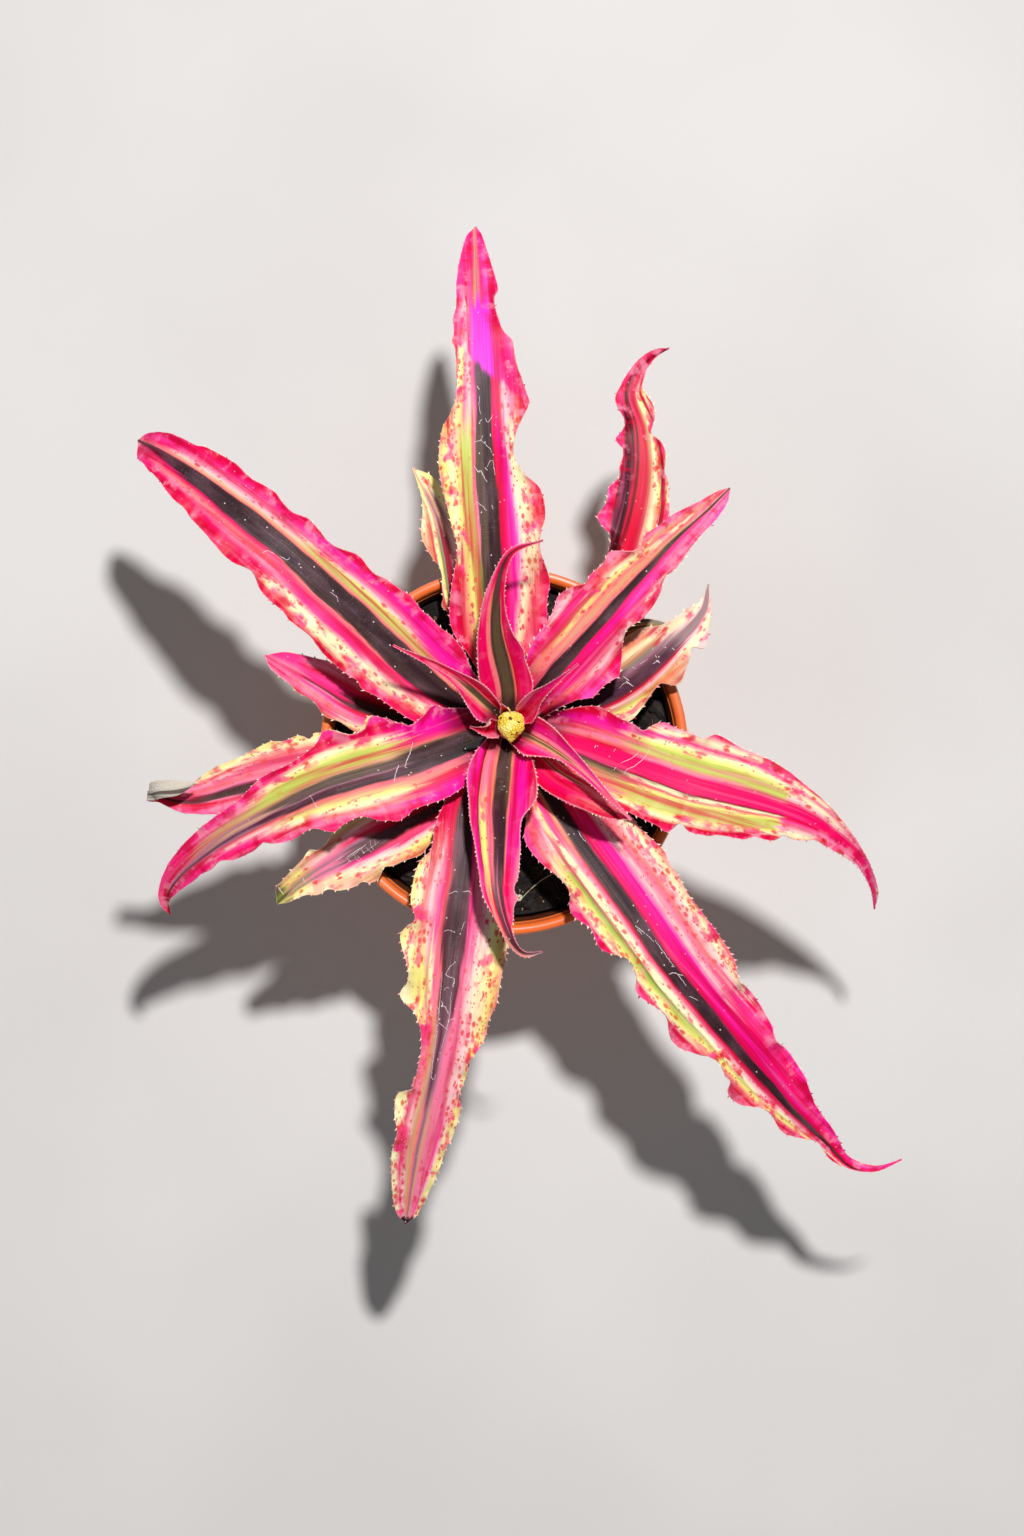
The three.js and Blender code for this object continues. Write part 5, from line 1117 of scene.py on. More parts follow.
def teeth(name, blade, pitch, length):
    frames = []
    for side in (-1, 1):
        s = blade.base + TEETH_BASE_GAP + (1.1 if side > 0 else 0.3)
        while s < TEETH_STOP.get(name, blade.length - TEETH_TIP_GAP):
            at, edge = np.array([s]), np.array([float(side)])
            point = blade.place(at, edge)[0]
            outward = unit(point - blade.place(at, edge * 0.8)[0])
            forward = unit(blade.place(at + 0.6, edge)[0] - blade.place(at - 0.6, edge)[0])
            normal = unit(np.cross(forward, outward)) * side
            size = length * random.choice(TOOTH_SIZES) * min(1, 0.45 + blade.half_width(side, at)[0] / 9)
            tall = (outward + forward * random.uniform(0.0, TOOTH_LEAN)) * (size + TOOTH_SINK)
            frames.append(((point - outward * TOOTH_SINK - normal * 0.3) * MM,
                           np.array([forward * 1.25, normal * 0.8, tall]) * MM))
            s += pitch * random.uniform(0.75, 1.25)
    return copies(name + "_teeth", TOOTH_POINTS, TOOTH_FACES, frames)


print("tooth:", len(TOOTH_FACES), "faces")

# %% [markdown]
# Scratches, fibres and the root thread are all thin tubes. A tube is a row of rings, thinner towards
# both ends, and closed there.

# %% Thin tubes
def tubes(name, strands, sides=5):
    """Closed tubes, each a list of points in millimetres and a radius that thins to its ends."""
    points, faces = [], []
    for path, radius in strands:
        path = np.array(path, float)
        along = unit(np.gradient(path, axis=0))
        across = unit(np.cross(along, [0.13, 0.21, 1.0]))
        over = np.cross(across, along)
        start, count = len(points), len(path)
        for i in range(count):
            thin = radius * (0.35 + 0.65 * math.sin(math.pi * (i + 0.6) / (count + 0.2)) ** 0.5)
            for k in range(sides):
                turn = 2 * math.pi * k / sides
                points.append(path[i] + thin * (across[i] * math.cos(turn) + over[i] * math.sin(turn)))
        for i in range(count - 1):
            low, high = start + i * sides, start + (i + 1) * sides
            for k in range(sides):
                faces.append((low + k, low + (k + 1) % sides, high + (k + 1) % sides, high + k))
        faces.append(tuple(range(start + sides - 1, start - 1, -1)))
        faces.append(tuple(range(start + (count - 1) * sides, start + count * sides)))
    piece = new_piece(name, (np.array(points) * MM).tolist(), faces)
    edit(piece)
    leave_facing_out()
    return piece


print("sides of a tube:", tubes.__defaults__[0])

# %% [markdown]
# Where something has brushed a leaf, its silvery scales are scraped together into thin white lines and
# crumbs. Each is a thin tube that lies on the blade. Below are their radius and their points: the
# distance along the midrib and the distance across it, positive to the left.

# %% Scratches in the silvery scales, in millimetres
SCRATCHES = {
    "leaf_long_front": [
        (0.09, "59.2 -3.7, 58.7 -2.5, 58 -1.6, 58.2 -0.6"), (0.11, "58 1, 57.5 2.1, 57.7 3.3, 58.8 4"),
        (0.24, "57.7 2, 57.7 2.3"), (0.08, "71.3 -3.5, 70.7 -2, 71.1 -0.6"),
        (0.19, "71.1 -0.4, 71.2 0"), (0.29, "71.5 1.6, 71.5 1.9"),
        (0.07, "70.5 1.9, 68.8 2.3, 67.2 2.8"), (0.10, "85.1 -1.2, 83.5 -0.9, 82.4 -0.3, 81 0.9"),
        (0.24, "80.8 1, 80.6 1.3"), (0.10, "84.8 -1.6, 85.6 -0.2, 85.8 1.1, 86.4 1.7"),
        (0.16, "86 1.6, 87.3 1.6, 88.7 1.5"), (0.08, "90.2 -1.2, 89.3 -0.7, 89.1 0.4"),
        (0.07, "90.3 1.1, 92.9 1.3, 96.2 1.6, 99.1 1.7, 102.2 1.5, 105.2 1.3, 109.4 0.7"),
        (0.16, "93.7 -1.7, 94.6 -1, 95.5 -1.3, 95.2 -0.5, 96.2 0.4, 97.5 1.4"),
        (0.08, "95.5 -2.8, 96.7 -2.1, 98.1 -2.2"), (0.10, "98.7 3.6, 99.4 2.1, 100.8 1.6, 102.5 1.4"),
        (0.10, "102.5 1.4, 101.3 -0.6, 101 -1.5"),
        (0.08, "102.1 -1.9, 106.7 -1.4, 110.8 -1.3, 115.5 -1, 119.3 -0.6, 120 0.4, 118 0.6"),
        (0.22, "110.8 0.5, 110.7 0.8"), (0.19, "112.7 0.3, 113.4 0.4"),
        (0.08, "84.3 -2.5, 88.5 -2.3, 93.4 -2.1, 98 -1.7, 100.7 -1.5"), (0.18, "101.7 -2, 102 -1.5")],
    "leaf_long_back": [
        (0.10, "100.4 1.8, 101.3 0.9"), (0.09, "101.6 -0, 100.2 -0.9, 101.3 -1.9, 102.5 -2.6"),
        (0.10, "94 3.7, 94.3 2.6, 94.6 1.6, 96.1 0.9"),
        (0.10, "94.6 1.6, 92.9 0.1, 91.7 -1.1, 90.2 -1.7"), (0.16, "96.5 -1.5, 95.5 -1.5"),
        (0.10, "85.8 0.1, 87.7 -0.9, 87.9 -1.9"), (0.09, "87.9 -1.9, 85.4 -2.1, 83.1 -2.2"),
        (0.15, "86.3 4.3, 85 3.5, 84.3 2.9, 84.8 2.3, 83.3 1.5, 81 0.4"), (0.11, "85.7 0.8, 84.7 0"),
        (0.11, "73.9 4.9, 74.8 3.9, 73.5 2.4, 71.9 0.9"), (0.13, "73.6 -0.8, 72.3 -1.1"),
        (0.08, "109 1.2, 105.8 1.7, 102.9 1.2")],
    "leaf_broad_left": [
        (0.16, "69.1 -0, 68.9 0.4"), (0.06, "68.9 0.6, 68.7 2.1, 68.6 3.5"),
        (0.26, "68.6 3.8, 68.7 4.5"), (0.14, "32.1 -6.2, 33.4 -4.3, 34.7 -2.4, 36.9 0.3, 36.5 1.1"),
        (0.15, "38.8 -0.6, 40 1.1, 41.1 2.8, 41.8 4.5")],
    "leaf_long_front_right": [
        (0.14, "77.9 -1.6, 79 -1.1, 80.4 -0.7, 81.6 -0.5"), (0.09, "79.2 -1.6, 80.3 -1.4, 81.5 -1.2"),
        (0.22, "81.3 1.2, 81.6 1.5"), (0.11, "77.3 -0.5, 76.9 0.4"),
        (0.09, "82 -0.2, 83.7 0.2, 85.5 0.5"), (0.10, "85.2 1.1, 88 1.1, 90.7 1.1, 93.5 1.1, 96 1.2"),
        (0.14, "96.7 -1.7, 97.2 -0.4, 98.5 0.6, 99.9 1.6"),
        (0.12, "98.3 0.4, 100.2 0.5, 101.7 0.5, 103.2 0.3"), (0.24, "93.3 -1.3, 93.7 -1.1"),
        (0.10, "106.4 -1.2, 107.9 -0.4, 109.3 0.1"), (0.21, "42.1 -0.7, 42.3 -0.4"),
        (0.18, "41.2 -2.6, 41.5 -2.4"), (0.10, "41.8 1.2, 43.3 1, 44.7 0.8, 46.6 1.1"),
        (0.14, "34.2 -1.9, 34.4 -1.5"), (0.11, "35.5 -0.4, 36.3 -0.5")],
    "leaf_broad_right": [
        (0.10, "40.2 -1.9, 42.3 0.1, 43.7 1.8, 44.7 3.9"),
        (0.10, "42.6 -5.1, 42.7 -3.4, 44.6 -1.3, 46.3 1.4, 47.2 3.8, 47.5 5.6"),
        (0.12, "30.3 -0.2, 30.4 0.8"), (0.11, "36.6 0.8, 37 1.9"), (0.10, "38.9 -4.8, 39.2 -3.6")],
    "leaf_old_front_left": [
        (0.12, "70 0.8, 66.4 0.5, 62.2 0.2"), (0.10, "69.9 2.1, 69 2.4"),
        (0.05, "62.7 0.8, 62.1 2.3, 61.6 3.1"), (0.05, "60.8 1.4, 60.8 2.3, 60.8 2.8"),
        (0.05, "64.2 0.1, 64.1 1.6, 64 2.3"), (0.05, "69.7 1, 69.3 2.1, 69 2.6"),
        (0.05, "60.3 -0.7, 60.8 0.9, 61.1 1.9"), (0.05, "67.6 0.2, 67 1.9, 66.5 3"),
        (0.05, "66.2 1.8, 66 3.2, 65.8 4"), (0.05, "67.5 1.8, 66.9 3.3, 66.4 4.1"),
        (0.05, "58.9 -0.3, 59.3 0.9, 59.4 1.6"), (0.05, "68.9 1.1, 66.1 0.9, 63.4 0.5"),
        (0.05, "63.8 2.1, 60.6 1.7, 57.6 1.1"), (0.14, "93.6 -3.7, 94.1 -2.6, 94.1 -0.7"),
        (0.10, "85.3 -0.9, 85.8 0.1, 85.4 1"), (0.06, "70.5 -0.2, 73.3 0.1")],
    "leaf_old_right": [
        (0.11, "42.6 2.9, 43.4 0.6"), (0.16, "42.5 1, 43.4 -1.7"),
        (0.10, "39.3 0.3, 41.8 0.7, 43 -0.5"), (0.08, "46.9 3.6, 47.6 2.3"),
        (0.10, "55.4 1.6, 55.2 0.5"), (0.18, "54.5 0.2, 54.8 -1.4"), (0.10, "52.9 -0, 55.2 -0.4"),
        (0.13, "60.9 -0.6, 61.1 -1.7"), (0.08, "49.7 2.7, 52.8 2.2")],
    "leaf_long_back_left": [
        (0.11, "98.3 7.3, 97.2 5.6, 95.1 5.1"), (0.10, "93.1 4.4, 90.6 3.9, 90.5 2.6"),
        (0.16, "85.9 2.9, 85.4 2.8"), (0.10, "73.4 2.5, 70.7 2.2, 69.4 3.1")],
}
STEPS_BETWEEN, JITTER, LYING = 5, 0.12, 0.35


def scratches(name, blade):
    strands = []
    for radius, track in SCRATCHES.get(name, []):
        points = table(track)
        fine = np.linspace(0, len(points) - 1, STEPS_BETWEEN * (len(points) - 1) + 1)
        s, across = smooth(np.c_[np.arange(len(points)), points], fine).T
        side = np.where(across < 0, -1, 1)
        u = across / blade.half_width(side, s)
        face = blade.place(s, u)
        normal = unit(np.cross(blade.place(s + 0.3, u) - face, blade.place(s, u + 0.02) - face))
        jitter = np.array([random.uniform(-JITTER, JITTER) for _ in s])
        wobble = unit(np.gradient(face, axis=0))[:, [1, 0, 2]] * [[-1, 1, 0]] * jitter[:, None]
        strands.append((face + normal * radius * LYING + wobble * (len(s) > STEPS_BETWEEN + 1), radius))
    return tubes(name + "_scratches", strands) if strands else None


print("leaves with scratches:", len(SCRATCHES))

# %% [markdown]
# Old leaves are dull and their teeth few, young ones are bright and closely toothed. The blade, its
# teeth and its materials are put together here, and each finished leaf takes the place of its solid.
# A leaf without scratches has none to join. In the table, "deep" is how far the painted shade at the
# base reaches (1 is 100 mm), and "pitch" and "tooth" are the spacing and the length of the teeth in
# millimetres.

# %% Build every leaf
EDGE_ROSE, EDGE_CREAM = colour(255, 190, 204), colour(250, 232, 200)
LOOKS = {
    "outer": dict(deep=0.25, freckles=0.5, scurf=1.0, seam=0.3, bars=1.0, edge=EDGE_ROSE,
                  roughness=0.43, pitch=2.6, tooth=0.8, slot="leaf_bright"),
    "old": dict(deep=0.36, freckles=0.12, scurf=1.0, seam=0.4, bars=0.4, edge=EDGE_CREAM,
                roughness=0.52, pitch=3.8, tooth=0.9, slot="leaf_old"),
    "young": dict(deep=0.13, freckles=0.3, scurf=0.6, seam=0.55, bars=0.2, edge=EDGE_ROSE,
                  roughness=0.4, pitch=1.5, tooth=0.5, slot="leaf_young"),
}
YOUNG = ("inner", "heart", "under_front")
# The heart's small leaves get a shorter reach of painted shade at the base.
HEART_PAINTED_SHADE_REACH = 0.07
FEW_FRECKLES = ("leaf_broad_left", "leaf_broad_right", "leaf_inner_front", "leaf_under_left")
FEW = 0.35
TOOTH_SHARES = {"leaf_broad_left": 0.6, "leaf_long_back_left": 0.75, "leaf_long_back": 0.7,
                "leaf_under_left": 0.65, "leaf_old_front_left": 0.8, "leaf_old_left": 0.8}


def look_of(name):
    kind = "old" if "old" in name else "young" if any(word in name for word in YOUNG) else "outer"
    look = dict(LOOKS[kind])
    if "heart" in name:
        look["deep"] = HEART_PAINTED_SHADE_REACH
    if name in FEW_FRECKLES:
        look["freckles"] *= FEW
    look["tooth"] *= TOOTH_SHARES.get(name, 1)
    return look


FACE, HORN, SCURF = 0, 2, 3
leaf_triangles = 0
for number, (name, leaf) in enumerate(LEAVES.items()):
    look = look_of(name)
    blade = Blade(leaf, number)
    piece = blade_skin(name, blade)
    skins = [leaf_material(name, RECIPES[name], look), underside, horn, white_scurf]
    added = []
    for extra, skin in ((piece, FACE), (teeth(name, blade, look["pitch"], look["tooth"]), HORN),
                        (scratches(name, blade), SCURF)):
        if extra:
            for material in skins:
                extra.data.materials.append(material)
            extra.data.polygons.foreach_set("material_index", [skin] * len(extra.data.polygons))
            added.append(extra)
    apply_modifier(piece, "SOLIDIFY", thickness=RIB_THICKNESS * MM, offset=-1, vertex_group="thick",
                   material_offset=1, material_offset_rim=0)
    join(*added)
    soften(piece, 50)
    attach(piece, "root")
    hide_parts(name)
    leaf_triangles += sum(len(f.vertices) - 2 for f in piece.data.polygons)
print("triangles in the leaves:", leaf_triangles)

# %% [markdown]
# ## The pot
# A nursery pot is thin moulded plastic: a tapering wall, a deeper collar at the top that stiffens it,
# and a thin rolled rim. Its profile is turned: a flat disc is extruded ring by ring up the outside,
# over the rim and down the inside, so the wall is one closed skin. Drain holes are cut last.

# %% Turned pieces
def turned(name, profile, sides, centre=(0, 0)):
    """A closed turned piece from (radius, height) pairs in millimetres, starting at its foot."""
    bpy.ops.object.select_all(action="DESELECT")
    axis = (centre[0] * MM, centre[1] * MM)
    radius, height = profile[0]
    bpy.ops.mesh.primitive_circle_add(vertices=sides, radius=radius * MM, fill_type="NGON",
                                      location=(*axis, height * MM))
    piece = bpy.context.object
    piece.name = name
    bpy.ops.object.transform_apply(location=True)
    edit(piece)
    for next_radius, next_height in profile[1:]:
        rise = (0, 0, (next_height - height) * MM)
        bpy.ops.mesh.extrude_region_move(TRANSFORM_OT_translate={"value": rise})
        scale = next_radius / radius
        bpy.ops.transform.resize(value=(scale, scale, 1), center_override=(*axis, next_height * MM))
        radius, height = next_radius, next_height
    leave_facing_out()
    return piece


def drill(piece, places, radius, low, high, sides=24):
    """Cuts round upright holes."""
    drills = []
    for x, y in places:
        bpy.ops.mesh.primitive_cylinder_add(vertices=sides, radius=radius * MM, depth=(high - low) * MM,
                                            location=(x * MM, y * MM, (low + high) / 2 * MM))
        drills.append(bpy.context.object)
    cutter = drills.pop()
    join(cutter, *drills)
    apply_modifier(piece, "BOOLEAN", object=cutter, operation="DIFFERENCE", solver="EXACT")
    bpy.data.objects.remove(cutter)


print("turning tools are ready")

# %% [markdown]
# The pot's profile starts inside its foot, goes up the outside to the collar and the rolled rim, and
# comes back down the inside. Each pair is a radius and a height.

# %% The pot's wall, collar and rim
POT_SIDES = 128
HOLES, HOLE_RING, HOLE_RADIUS = 6, 27, 4
pot_profile = [
    (39.4, 0.9), (39.7, 0.1), (40.2, 0), (41, 0), (41.7, 0.35), (42, 1), (42.8, 6), (43.1, 6.5), (43.15, 7.5),
    (48.4, 42), (56.0, 89.6), (56.3, 90), (57.6, 90.1), (58.05, 90.5), (58.15, 91.2), (58.35, 93.0),
    (58.55, 93.3), (58.6, 94.0), (58.45, 94.3), (58.65, 96.7), (59.2, 96.9), (59.7, 97.5), (60, 98.4),
    (59.85, 99.2), (59.4, 99.75), (58.6, 100), (57.8, 99.9), (57.1, 99.5), (56.7, 98.9), (56.55, 98.2),
    (56.2, 96.6), (55.9, 96.3), (55.6, 94.6), (54.75, 91), (54.6, 90), (47.5, 45), (41.2, 6), (40.5, 2.4),
    (39.8, 2),
]
pot = turned("terracotta_pot", pot_profile, POT_SIDES)
hole_turns = np.radians(np.arange(HOLES) * 360 / HOLES)
drill(pot, [(HOLE_RING * math.cos(turn), HOLE_RING * math.sin(turn)) for turn in hole_turns],
      HOLE_RADIUS, -1, 4)
soften(pot, 32)
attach(pot, "root")
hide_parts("pot")
print("pot faces:", len(pot.data.polygons))

# %% [markdown]
# Moulded terracotta plastic is an even orange brown with a soft shine. Chalk from the water dries on
# it in faint tide marks, and fine scratches run round it from handling; along them the colour is painted
# in lighter streaks, a painted highlight. The inside is painted dark: partly a stain of wet peat, partly
# painted shade below the rim.

# %% Shared group: dust and chalk
board, given, out = new_group("dust_film", {"Colour": "Color", "Place": "Vector", "Amount": "Float",
                                            "Dust Colour": "Color"}, {"Colour": "Color", "Film": "Float"})
film = board.ramp(board.noise(given["Place"], 38.0, 5.0, 0.62), 0.5, 0.78)
specks = board.ramp(board.noise(given["Place"], 420.0), 0.66, 0.74, 0.0, 0.5)
mask = board.times(board.most(film, specks), given["Amount"])
board.plug(board.mix(mask, given["Colour"], given["Dust Colour"]), out["Colour"])
board.plug(mask, out["Film"])
print("group:", board.tree.name, len(board.tree.nodes), "nodes")

# %% [markdown]
# Orange plastic shows wherever the radius is beyond the middle of the leaning wall, on the rim above
# the peat, and underneath. The rest, the inside, is painted dark: partly peat stain, partly painted shade.

# %% Pot material
WALL_LEAN, WALL_FOOT = 0.1612, 0.0409
material, board = new_material("terracotta_plastic")
place = board.object_place()
axes = board.add("SeparateXYZ", {0: place}).outputs
height = axes["Z"]
radius = board.maths("SQRT", board.plus(board.times(axes["X"], axes["X"]), board.times(axes["Y"], axes["Y"])))
past_wall = board.maths("SUBTRACT", radius, board.scaled(height, WALL_LEAN, WALL_FOOT))
shell = board.most(board.ramp(past_wall, 0.0002, 0.0009), board.ramp(height, 0.0945, 0.0972),
                   board.ramp(height, 0.0017, 0.0012))
swirl = board.ramp(board.noise(place, 16.0, 3.0), 0.3, 0.75)
# Painted shade: inside the wall the plastic is painted near-black brown, partly a peat stain and partly the
# shade below the rim.
base = board.mix(shell, colour(64, 26, 14), board.mix(swirl, colour(236, 104, 42), colour(250, 130, 62)))
turning = board.noise(board.add("CombineXYZ", {0: radius, 2: height}).outputs[0], 900.0, 2.0, 0.6)
# Painted highlight: lighter streaks along the turned lines, where the plastic's sheen would catch; the same
# lines are also real scratches in the relief.
highlight_streaked = board.mix(board.times(board.ramp(turning, 0.5, 0.72), 0.25), base, colour(244, 150, 92))
chalked = board.shared("dust_film", {"Colour": highlight_streaked, "Place": place, "Amount": 0.22,
                                     "Dust Colour": colour(240, 178, 134)})
board.dress(chalked["Colour"], board.ramp(chalked["Film"], 0.0, 0.3, 0.36, 0.6),
            (board.plus(turning, board.times(chalked["Film"], 0.6)), 0.25, 0.0002))
pot.data.materials.append(material)
print("pot material:", len(board.tree.nodes), "nodes")

# %% [markdown]
# ## The peat
# The pot is filled with dark peat mix to a little under the rim. The fill is turned like the pot, its
# top inset again and again into rings fine enough to be raised and lowered into clods. The stem
# stands in a plain hole.

# %% The peat's fill
SOIL_SIDES, SOIL_STEP = 180, 1.05
SOIL_TOP, SOIL_REACH = 92, 53.6
STEM_HOLE_RADIUS, STEM_HOLE_LOW = 7.9, 77.6


def soil_height(x, y):
    """The gentle hills of the solid's top, with smaller lumps added."""
    hills = np.sin(0.31 * x + 1) * np.cos(0.27 * y) + 0.6 * np.sin(0.83 * x + 0.71 * y)
    lumps = np.sin(1.9 * x + 1.3 * np.sin(1.1 * y)) * np.sin(1.7 * y + 1.1 * np.sin(1.3 * x))
    return SOIL_TOP + 1.1 * hills + 0.42 * lumps


side_profile = [(40.0, 2.3), (46.6, 45), (54.0, 88.4), (54.1, 90)]
ring_profile = [(r, SOIL_TOP) for r in np.arange(SOIL_REACH, 0.6, -SOIL_STEP)]
soil = turned("peat_fill", side_profile + ring_profile, SOIL_SIDES)
for vertex in soil.data.vertices:
    x, y, z = vertex.co / MM
    if z > SOIL_TOP - 1:
        coarse, fine = noise.noise(Vector((x * 0.9, y * 0.9, 4.2))), noise.noise(Vector((x, y, 9)) * 2.3)
        vertex.co.z = (soil_height(x, y) + (coarse * 0.7 + fine * 0.35)) * MM
drill(soil, [PLANT_AXIS[:2]], STEM_HOLE_RADIUS, STEM_HOLE_LOW, SOIL_TOP + 7, 40)
print("peat faces:", len(soil.data.polygons))

# %% [markdown]
# Peat is loose: crumbs of many sizes, fibres and a few pale specks lie on top. One crumb is modelled
# as a lump with few faces and repeated, each copy turned and stretched its own way.

# %% Crumbs on the peat
CRUMBS, CRUMB_REACH, CRUMB_CLEAR = 1500, 53.2, 9
bpy.ops.mesh.primitive_ico_sphere_add(subdivisions=1, radius=1)
crumb = bpy.context.object
edit(crumb)
bpy.ops.transform.vertex_random(offset=0.35, uniform=0.4, normal=0.6, seed=3)
leave_edit()
CRUMB_POINTS, CRUMB_FACES = take_shape(crumb)


def random_place(reach):
    """A point on a disc: x, y and how far it is from the middle."""
    far, turn = reach * math.sqrt(random.random()), random.uniform(0, 2 * math.pi)
    return far * math.cos(turn), far * math.sin(turn), far


def near_stem(x, y, clear):
    return math.hypot(x - PLANT_AXIS[0], y - PLANT_AXIS[1]) < clear


def random_turn():
    spin = Euler([random.uniform(0, 2 * math.pi) for _ in range(3)])
    return np.array(spin.to_matrix())


crumb_frames, crumb_tints = [], []
while len(crumb_frames) < CRUMBS:
    x, y, far = random_place(CRUMB_REACH)
    if near_stem(x, y, CRUMB_CLEAR):
        continue
    size = 0.28 + 0.75 * random.random() ** 3
    if far + size > SOIL_REACH:
        continue
    stretch = np.diag([random.uniform(0.7, 1.7), random.uniform(0.6, 1.0), random.uniform(0.5, 0.9)])
    crumb_frames.append((np.array([x, y, soil_height(x, y) + size * 0.35]) * MM,
                         (stretch @ random_turn()) * size * MM))
    crumb_tints.append(random.random())
crumbs = copies("peat_crumbs", CRUMB_POINTS, CRUMB_FACES, crumb_frames)
note(crumbs, "tint", np.repeat(crumb_tints, len(CRUMB_POINTS)))
print("crumbs:", len(crumb_frames))

# %% [markdown]
# Fibres, and the pale thread of an old root that has curled up, are tubes laid along a few points. The
# root thread begins as a small coil and then runs out to one side.

# %% Fibres on the peat
FIBRES, FIBRE_REACH, FIBRE_CLEAR, FIBRE_END = 90, 49, 12, 53
FIBRE_POINTS, FIBRE_TINT = 6, 0.93
COIL_X, COIL_Y = 4.9, -48.0


def on_soil(x, y, lift=0.3):
    return (x, y, soil_height(x, y) + lift)


strands = []
for _ in range(FIBRES):
    x, y, _ = random_place(FIBRE_REACH)
    heading = random.uniform(0, 2 * math.pi)
    if near_stem(x, y, FIBRE_CLEAR):
        continue
    bend, reach = random.uniform(-0.5, 0.5), random.uniform(0.5, 1.1)
    path = []
    for _ in range(FIBRE_POINTS):
        path.append(on_soil(x, y, random.uniform(0.1, 0.8)))
        x, y, heading = x + reach * math.cos(heading), y + reach * math.sin(heading), heading + bend
    if all(math.hypot(px, py) < FIBRE_END for px, py, _ in path):
        strands.append((path, random.uniform(0.08, 0.2)))
fibres = tubes("peat_fibres", strands)
note(fibres, "tint", np.full(len(fibres.data.vertices), FIBRE_TINT))

coil = [on_soil(COIL_X + (1.25 - 0.03 * i) * math.cos(i * 0.62),
                COIL_Y + (1.15 - 0.02 * i) * math.sin(i * 0.66), 0.7 + 0.045 * i) for i in range(30)]
drawn_out = []
for t in np.linspace(0, 1, 16):
    arch = math.sin(math.pi * t)
    drawn_out.append(on_soil(COIL_X + 1.3 + 13.7 * t, -47.6 + 8.8 * t + 1.6 * arch, 0.8 + 1.4 * arch))
root_thread = tubes("dry_root_thread", [(coil, 0.2), (drawn_out, 0.13)])
print("fibres:", len(strands))

# %% [markdown]
# The peat is nearly black. Each crumb carries a number of its own, its tint, and the crumbs with the
# highest are bark, sand and perlite. The fill itself has no tint, and stays plain peat.

# %% Peat material
PERLITE_AND_BARK = [(0.0, (22, 15, 13)), (0.6, (42, 28, 22)), (0.82, (74, 48, 36)),
                    (0.92, (112, 80, 56)), (0.965, (172, 146, 116)), (0.985, (220, 206, 186))]
material, board = new_material("dark_peat")
place = board.object_place()
grain = board.noise(place, 900.0, 4.0, 0.65)
clumps = board.noise(place, 180.0, 3.0, 0.6)
tint = board.attribute("tint")
peat = board.mix(board.ramp(grain, 0.35, 0.7), colour(12, 8, 7), colour(38, 27, 22))
damp = board.mix(board.ramp(clumps, 0.45, 0.65), peat, colour(20, 13, 11))
bits, _ = board.stops(tint, [(start, colour(*paint)) for start, paint in PERLITE_AND_BARK],
                      "CONSTANT")
is_bit = board.maths("GREATER_THAN", tint, 0.0001)
speckled = board.mix(board.times(board.ramp(grain, 0.3, 0.7, 0.7, 1.0), is_bit), damp, bits)
board.dress(speckled, board.ramp(clumps, 0.4, 0.6, 0.75, 0.95), (board.plus(grain, clumps), 0.9, 0.0006))
for piece in (soil, crumbs, fibres):
    piece.data.materials.append(material)
join(soil, crumbs, fibres)
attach(soil, "root")
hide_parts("soil")

root_thread.data.materials.append(
    mottled_material("dry_root", 500.0, 0.35, 0.65, (214, 200, 164), (236, 228, 204), 0.7))
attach(root_thread, "root")
print("peat triangles:", sum(len(f.vertices) - 2 for f in soil.data.polygons))

# %% [markdown]
# ## The stem
# All leaves come from one short upright stem. It is mostly hidden, and ringed by the scars of leaves
# that have dropped. It is turned with a ring for each scar.

# %% The stem with its leaf scars
STEM_FOOT, STEM_SIDES = 78, 32
SCAR_RINGS = ((0.45, 0), (0.05, 0.35), (0.25, 0))
stem_profile = [(6.9, STEM_FOOT)]
for step in range(1, 44):
    inset, drop = SCAR_RINGS[step % 3]
    stem_profile.append((stem_radius(STEM_FOOT + step) - inset, STEM_FOOT + step - drop))
stem = turned("short_stem", stem_profile, STEM_SIDES, PLANT_AXIS[:2])

material, board = new_material("stem_bark")
place = board.object_place()
fibrous = board.noise(board.stretch(place, (500, 500, 90)), 1.0, 3.0, 0.6)
bark = board.mix(board.ramp(fibrous, 0.35, 0.65), colour(120, 84, 56), colour(196, 160, 112))
height = board.add("SeparateXYZ", {0: place}).outputs["Z"]
fresh = board.mix(board.ramp(height, 0.098, 0.116), bark, colour(206, 150, 120))
dusty = board.shared("dust_film", {"Colour": fresh, "Place": place, "Amount": 0.5,
                                   "Dust Colour": colour(70, 50, 40)})
board.dress(dusty["Colour"], 0.7, (fibrous, 0.6, 0.0004))
stem.data.materials.append(material)
soften(stem, 40)
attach(stem, "root")
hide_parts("stem")
print("stem faces:", len(stem.data.polygons))

# %% [markdown]
# ## The flower head
# In the heart sits a tight head of small pale yellow buds, pressed together so closely that they read
# as one lumpy form, wide at the back and pointed in front. A fine sphere is pulled into that outline,
# and every point rises towards the middle of its nearest bud and sinks into the crease between two.

# %% The head of buds
HEAD_CENTRE = np.array([2.3, 7.6, 124.2])
HEAD_WIDE, HEAD_LONG, HEAD_TALL = 4.2, 4.95, 3.5
BUDS = 230
GOLDEN_TURN = 2.399963
CREASE = 0.13
DRY_X, DRY_Y, DRY_REACH = 4.2, 4.6, 1.5

bud_middles = []
for index in range(BUDS):
    rise = 1 - 2 * (index + 0.5) / BUDS
    turn = index * GOLDEN_TURN
    flat = math.sqrt(1 - rise * rise)
    bud_middles.append(unit(np.array([flat * math.cos(turn), flat * math.sin(turn), rise])
                            + [random.uniform(-0.06, 0.06) for _ in range(3)]))
bud_middles = np.array(bud_middles)
bud_sizes = np.array([random.uniform(0.75, 1.25) for _ in range(BUDS)])

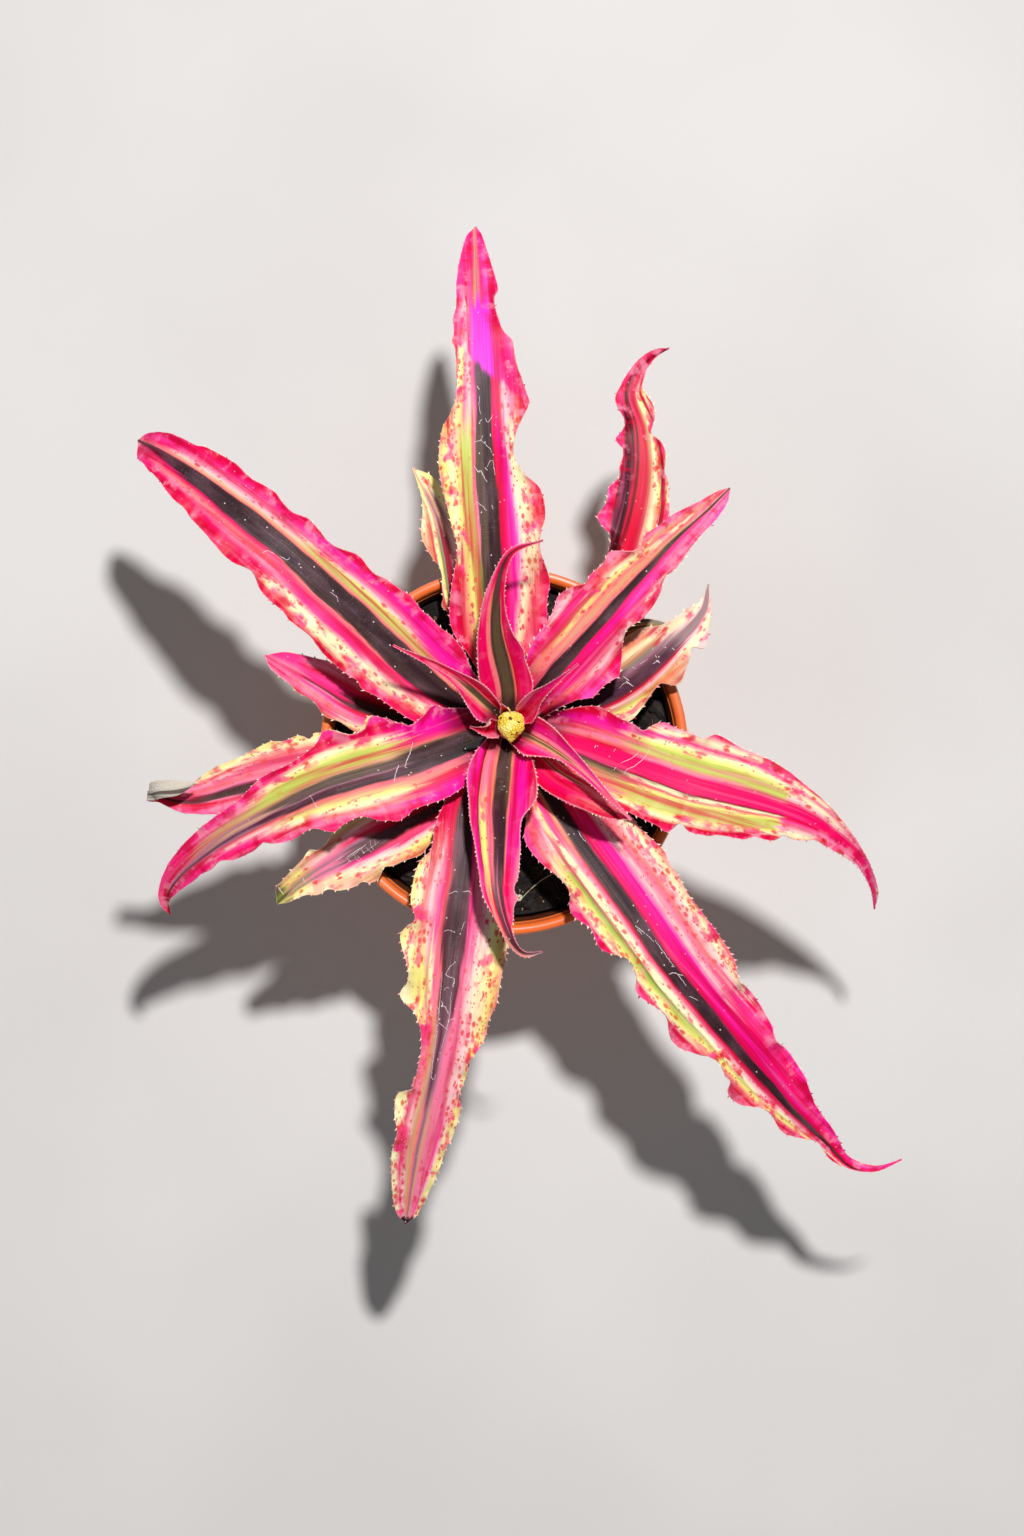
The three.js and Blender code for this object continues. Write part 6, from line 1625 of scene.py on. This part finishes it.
bpy.ops.mesh.primitive_ico_sphere_add(subdivisions=6, radius=1)
buds = bpy.context.object
buds.name = "flower_head_buds"
lumps, dryness = [], []
for vertex in buds.data.vertices:
    aim = np.array(vertex.co)
    away = np.arccos(np.clip(bud_middles @ aim, -1, 1)) / bud_sizes
    first, second = np.sort(away)[:2]
    lump = min((second - first) / CREASE, 1)
    front = abs(aim[1]) ** 1.5 if aim[1] < 0 else 1 - math.sqrt(max(1 - aim[1] ** 4, 0))
    across = max(math.hypot(aim[0], aim[2]), 1e-6)
    width = 1 - front
    swell = 1 + 0.065 * (lump ** 0.6 - 0.6) + 0.05 * noise.noise(Vector(aim) * 4)
    point = HEAD_CENTRE + np.array([aim[0] / across * width * HEAD_WIDE, aim[1] * HEAD_LONG,
                                    aim[2] / across * width ** 0.7 * HEAD_TALL]) * swell
    vertex.co = point * MM
    lumps.append(lump)
    dryness.append(max(0, 1 - math.hypot(point[0] - DRY_X, point[1] - DRY_Y) / DRY_REACH))
note(buds, "tip", lumps)
note(buds, "dry", dryness)
print("buds:", BUDS, "faces:", len(buds.data.polygons))

# %% [markdown]
# A few buds have dried to dark brown points, and one thread of a filament sticks out at the back. Each
# dried point has its place, its size and how much longer than wide it is.

# %% Dried tips and a filament
DRIED = [((2.1, 10.15), 0.46, 1.6), ((4.8, 9.2), 0.34, 1.6), ((4.2, 5.85), 0.4, 1.1),
         ((2.6, 5.2), 0.34, 1.1), ((-0.9, 10.4), 0.36, 1.2), ((0.05, 5.4), 0.34, 1.1),
         ((-1.2, 9.0), 0.26, 1.0)]
surface = np.array([v.co for v in buds.data.vertices]) / MM
upper = surface[surface[:, 2] > HEAD_CENTRE[2]]
dried_frames = []
for (x, y), size, longer in DRIED:
    spot = upper[np.argmin((upper[:, 0] - x) ** 2 + (upper[:, 1] - y) ** 2)]
    outward = unit(spot - HEAD_CENTRE + [0, 0, 1.5])
    along = unit(np.cross(outward, [0.7, 0.7, 0.0]))
    axes = np.array([along * longer, np.cross(outward, along), outward * 0.45])
    dried_frames.append((spot * MM, axes * size * MM))
dried_tips = copies("dried_bud_tips", CRUMB_POINTS, CRUMB_FACES, dried_frames)
filament = tubes("flower_filament", [([(1.95, 11.2, 125.6), (2.0, 12.1, 126.7), (1.85, 12.9, 127.3),
                                       (1.5, 13.4, 127.7), (1.2, 13.9, 127.7)], 0.3)])
print("dried tips:", len(DRIED))

# %% [markdown]
# A bud is painted deep yellow in the creases, a painted shade, and pale at its tip, with broad pale
# patches that are a painted highlight, mottled with a little ochre. In one place the head has begun to brown.

# %% Bud material
material, board = new_material("yellow_buds")
place = board.object_place()
mottle = board.noise(place, 700.0, 3.0, 0.6)
broad = board.noise(place, 260.0)
# Painted shade: the creases between buds are painted deep yellow, and the lumps pale.
young = board.mix(board.ramp(board.attribute("tip"), 0.0, 0.6), colour(196, 150, 14), colour(248, 226, 78))
# Painted highlight: broad pale patches over the head.
crease_shade_and_highlights = board.mix(board.times(board.ramp(broad, 0.45, 0.62), 0.75), young, colour(254, 242, 150))
aged = board.mix(board.times(board.ramp(mottle, 0.52, 0.7), 0.3), crease_shade_and_highlights, colour(214, 166, 30))
dry = board.times(board.ramp(board.attribute("dry"), 0.05, 0.6), board.ramp(mottle, 0.3, 0.5, 0.55, 1.0))
board.dress(board.mix(dry, aged, colour(186, 96, 30)), 0.5, (mottle, 0.5, 0.0002))
for piece in (buds, filament):
    piece.data.materials.append(material)
dried_tips.data.materials.append(
    mottled_material("dried_brown", 1500.0, 0.4, 0.6, (58, 16, 6), (98, 36, 10), 0.6))
join(buds, filament, dried_tips)
soften(buds, 60)
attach(buds, "root")
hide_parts("flower_head")
print("flower head materials:", [slot.name for slot in buds.data.materials])

# %% [markdown]
# ## The floor
# The floor is plain pale board with a faint tooth, so that nothing on it draws the eye.

# %% Floor material
material, board = new_material("pale_board")
place = board.object_place()
paper = board.ramp(board.noise(place, 5.0, 3.0), 0.3, 0.7)
board.dress(board.mix(paper, colour(214, 212, 210), colour(222, 221, 219)), 0.85,
            (board.noise(place, 600.0), 0.1, 0.0003))
floor.data.materials.append(material)
print("floor material:", len(board.tree.nodes), "nodes")

# %% [markdown]
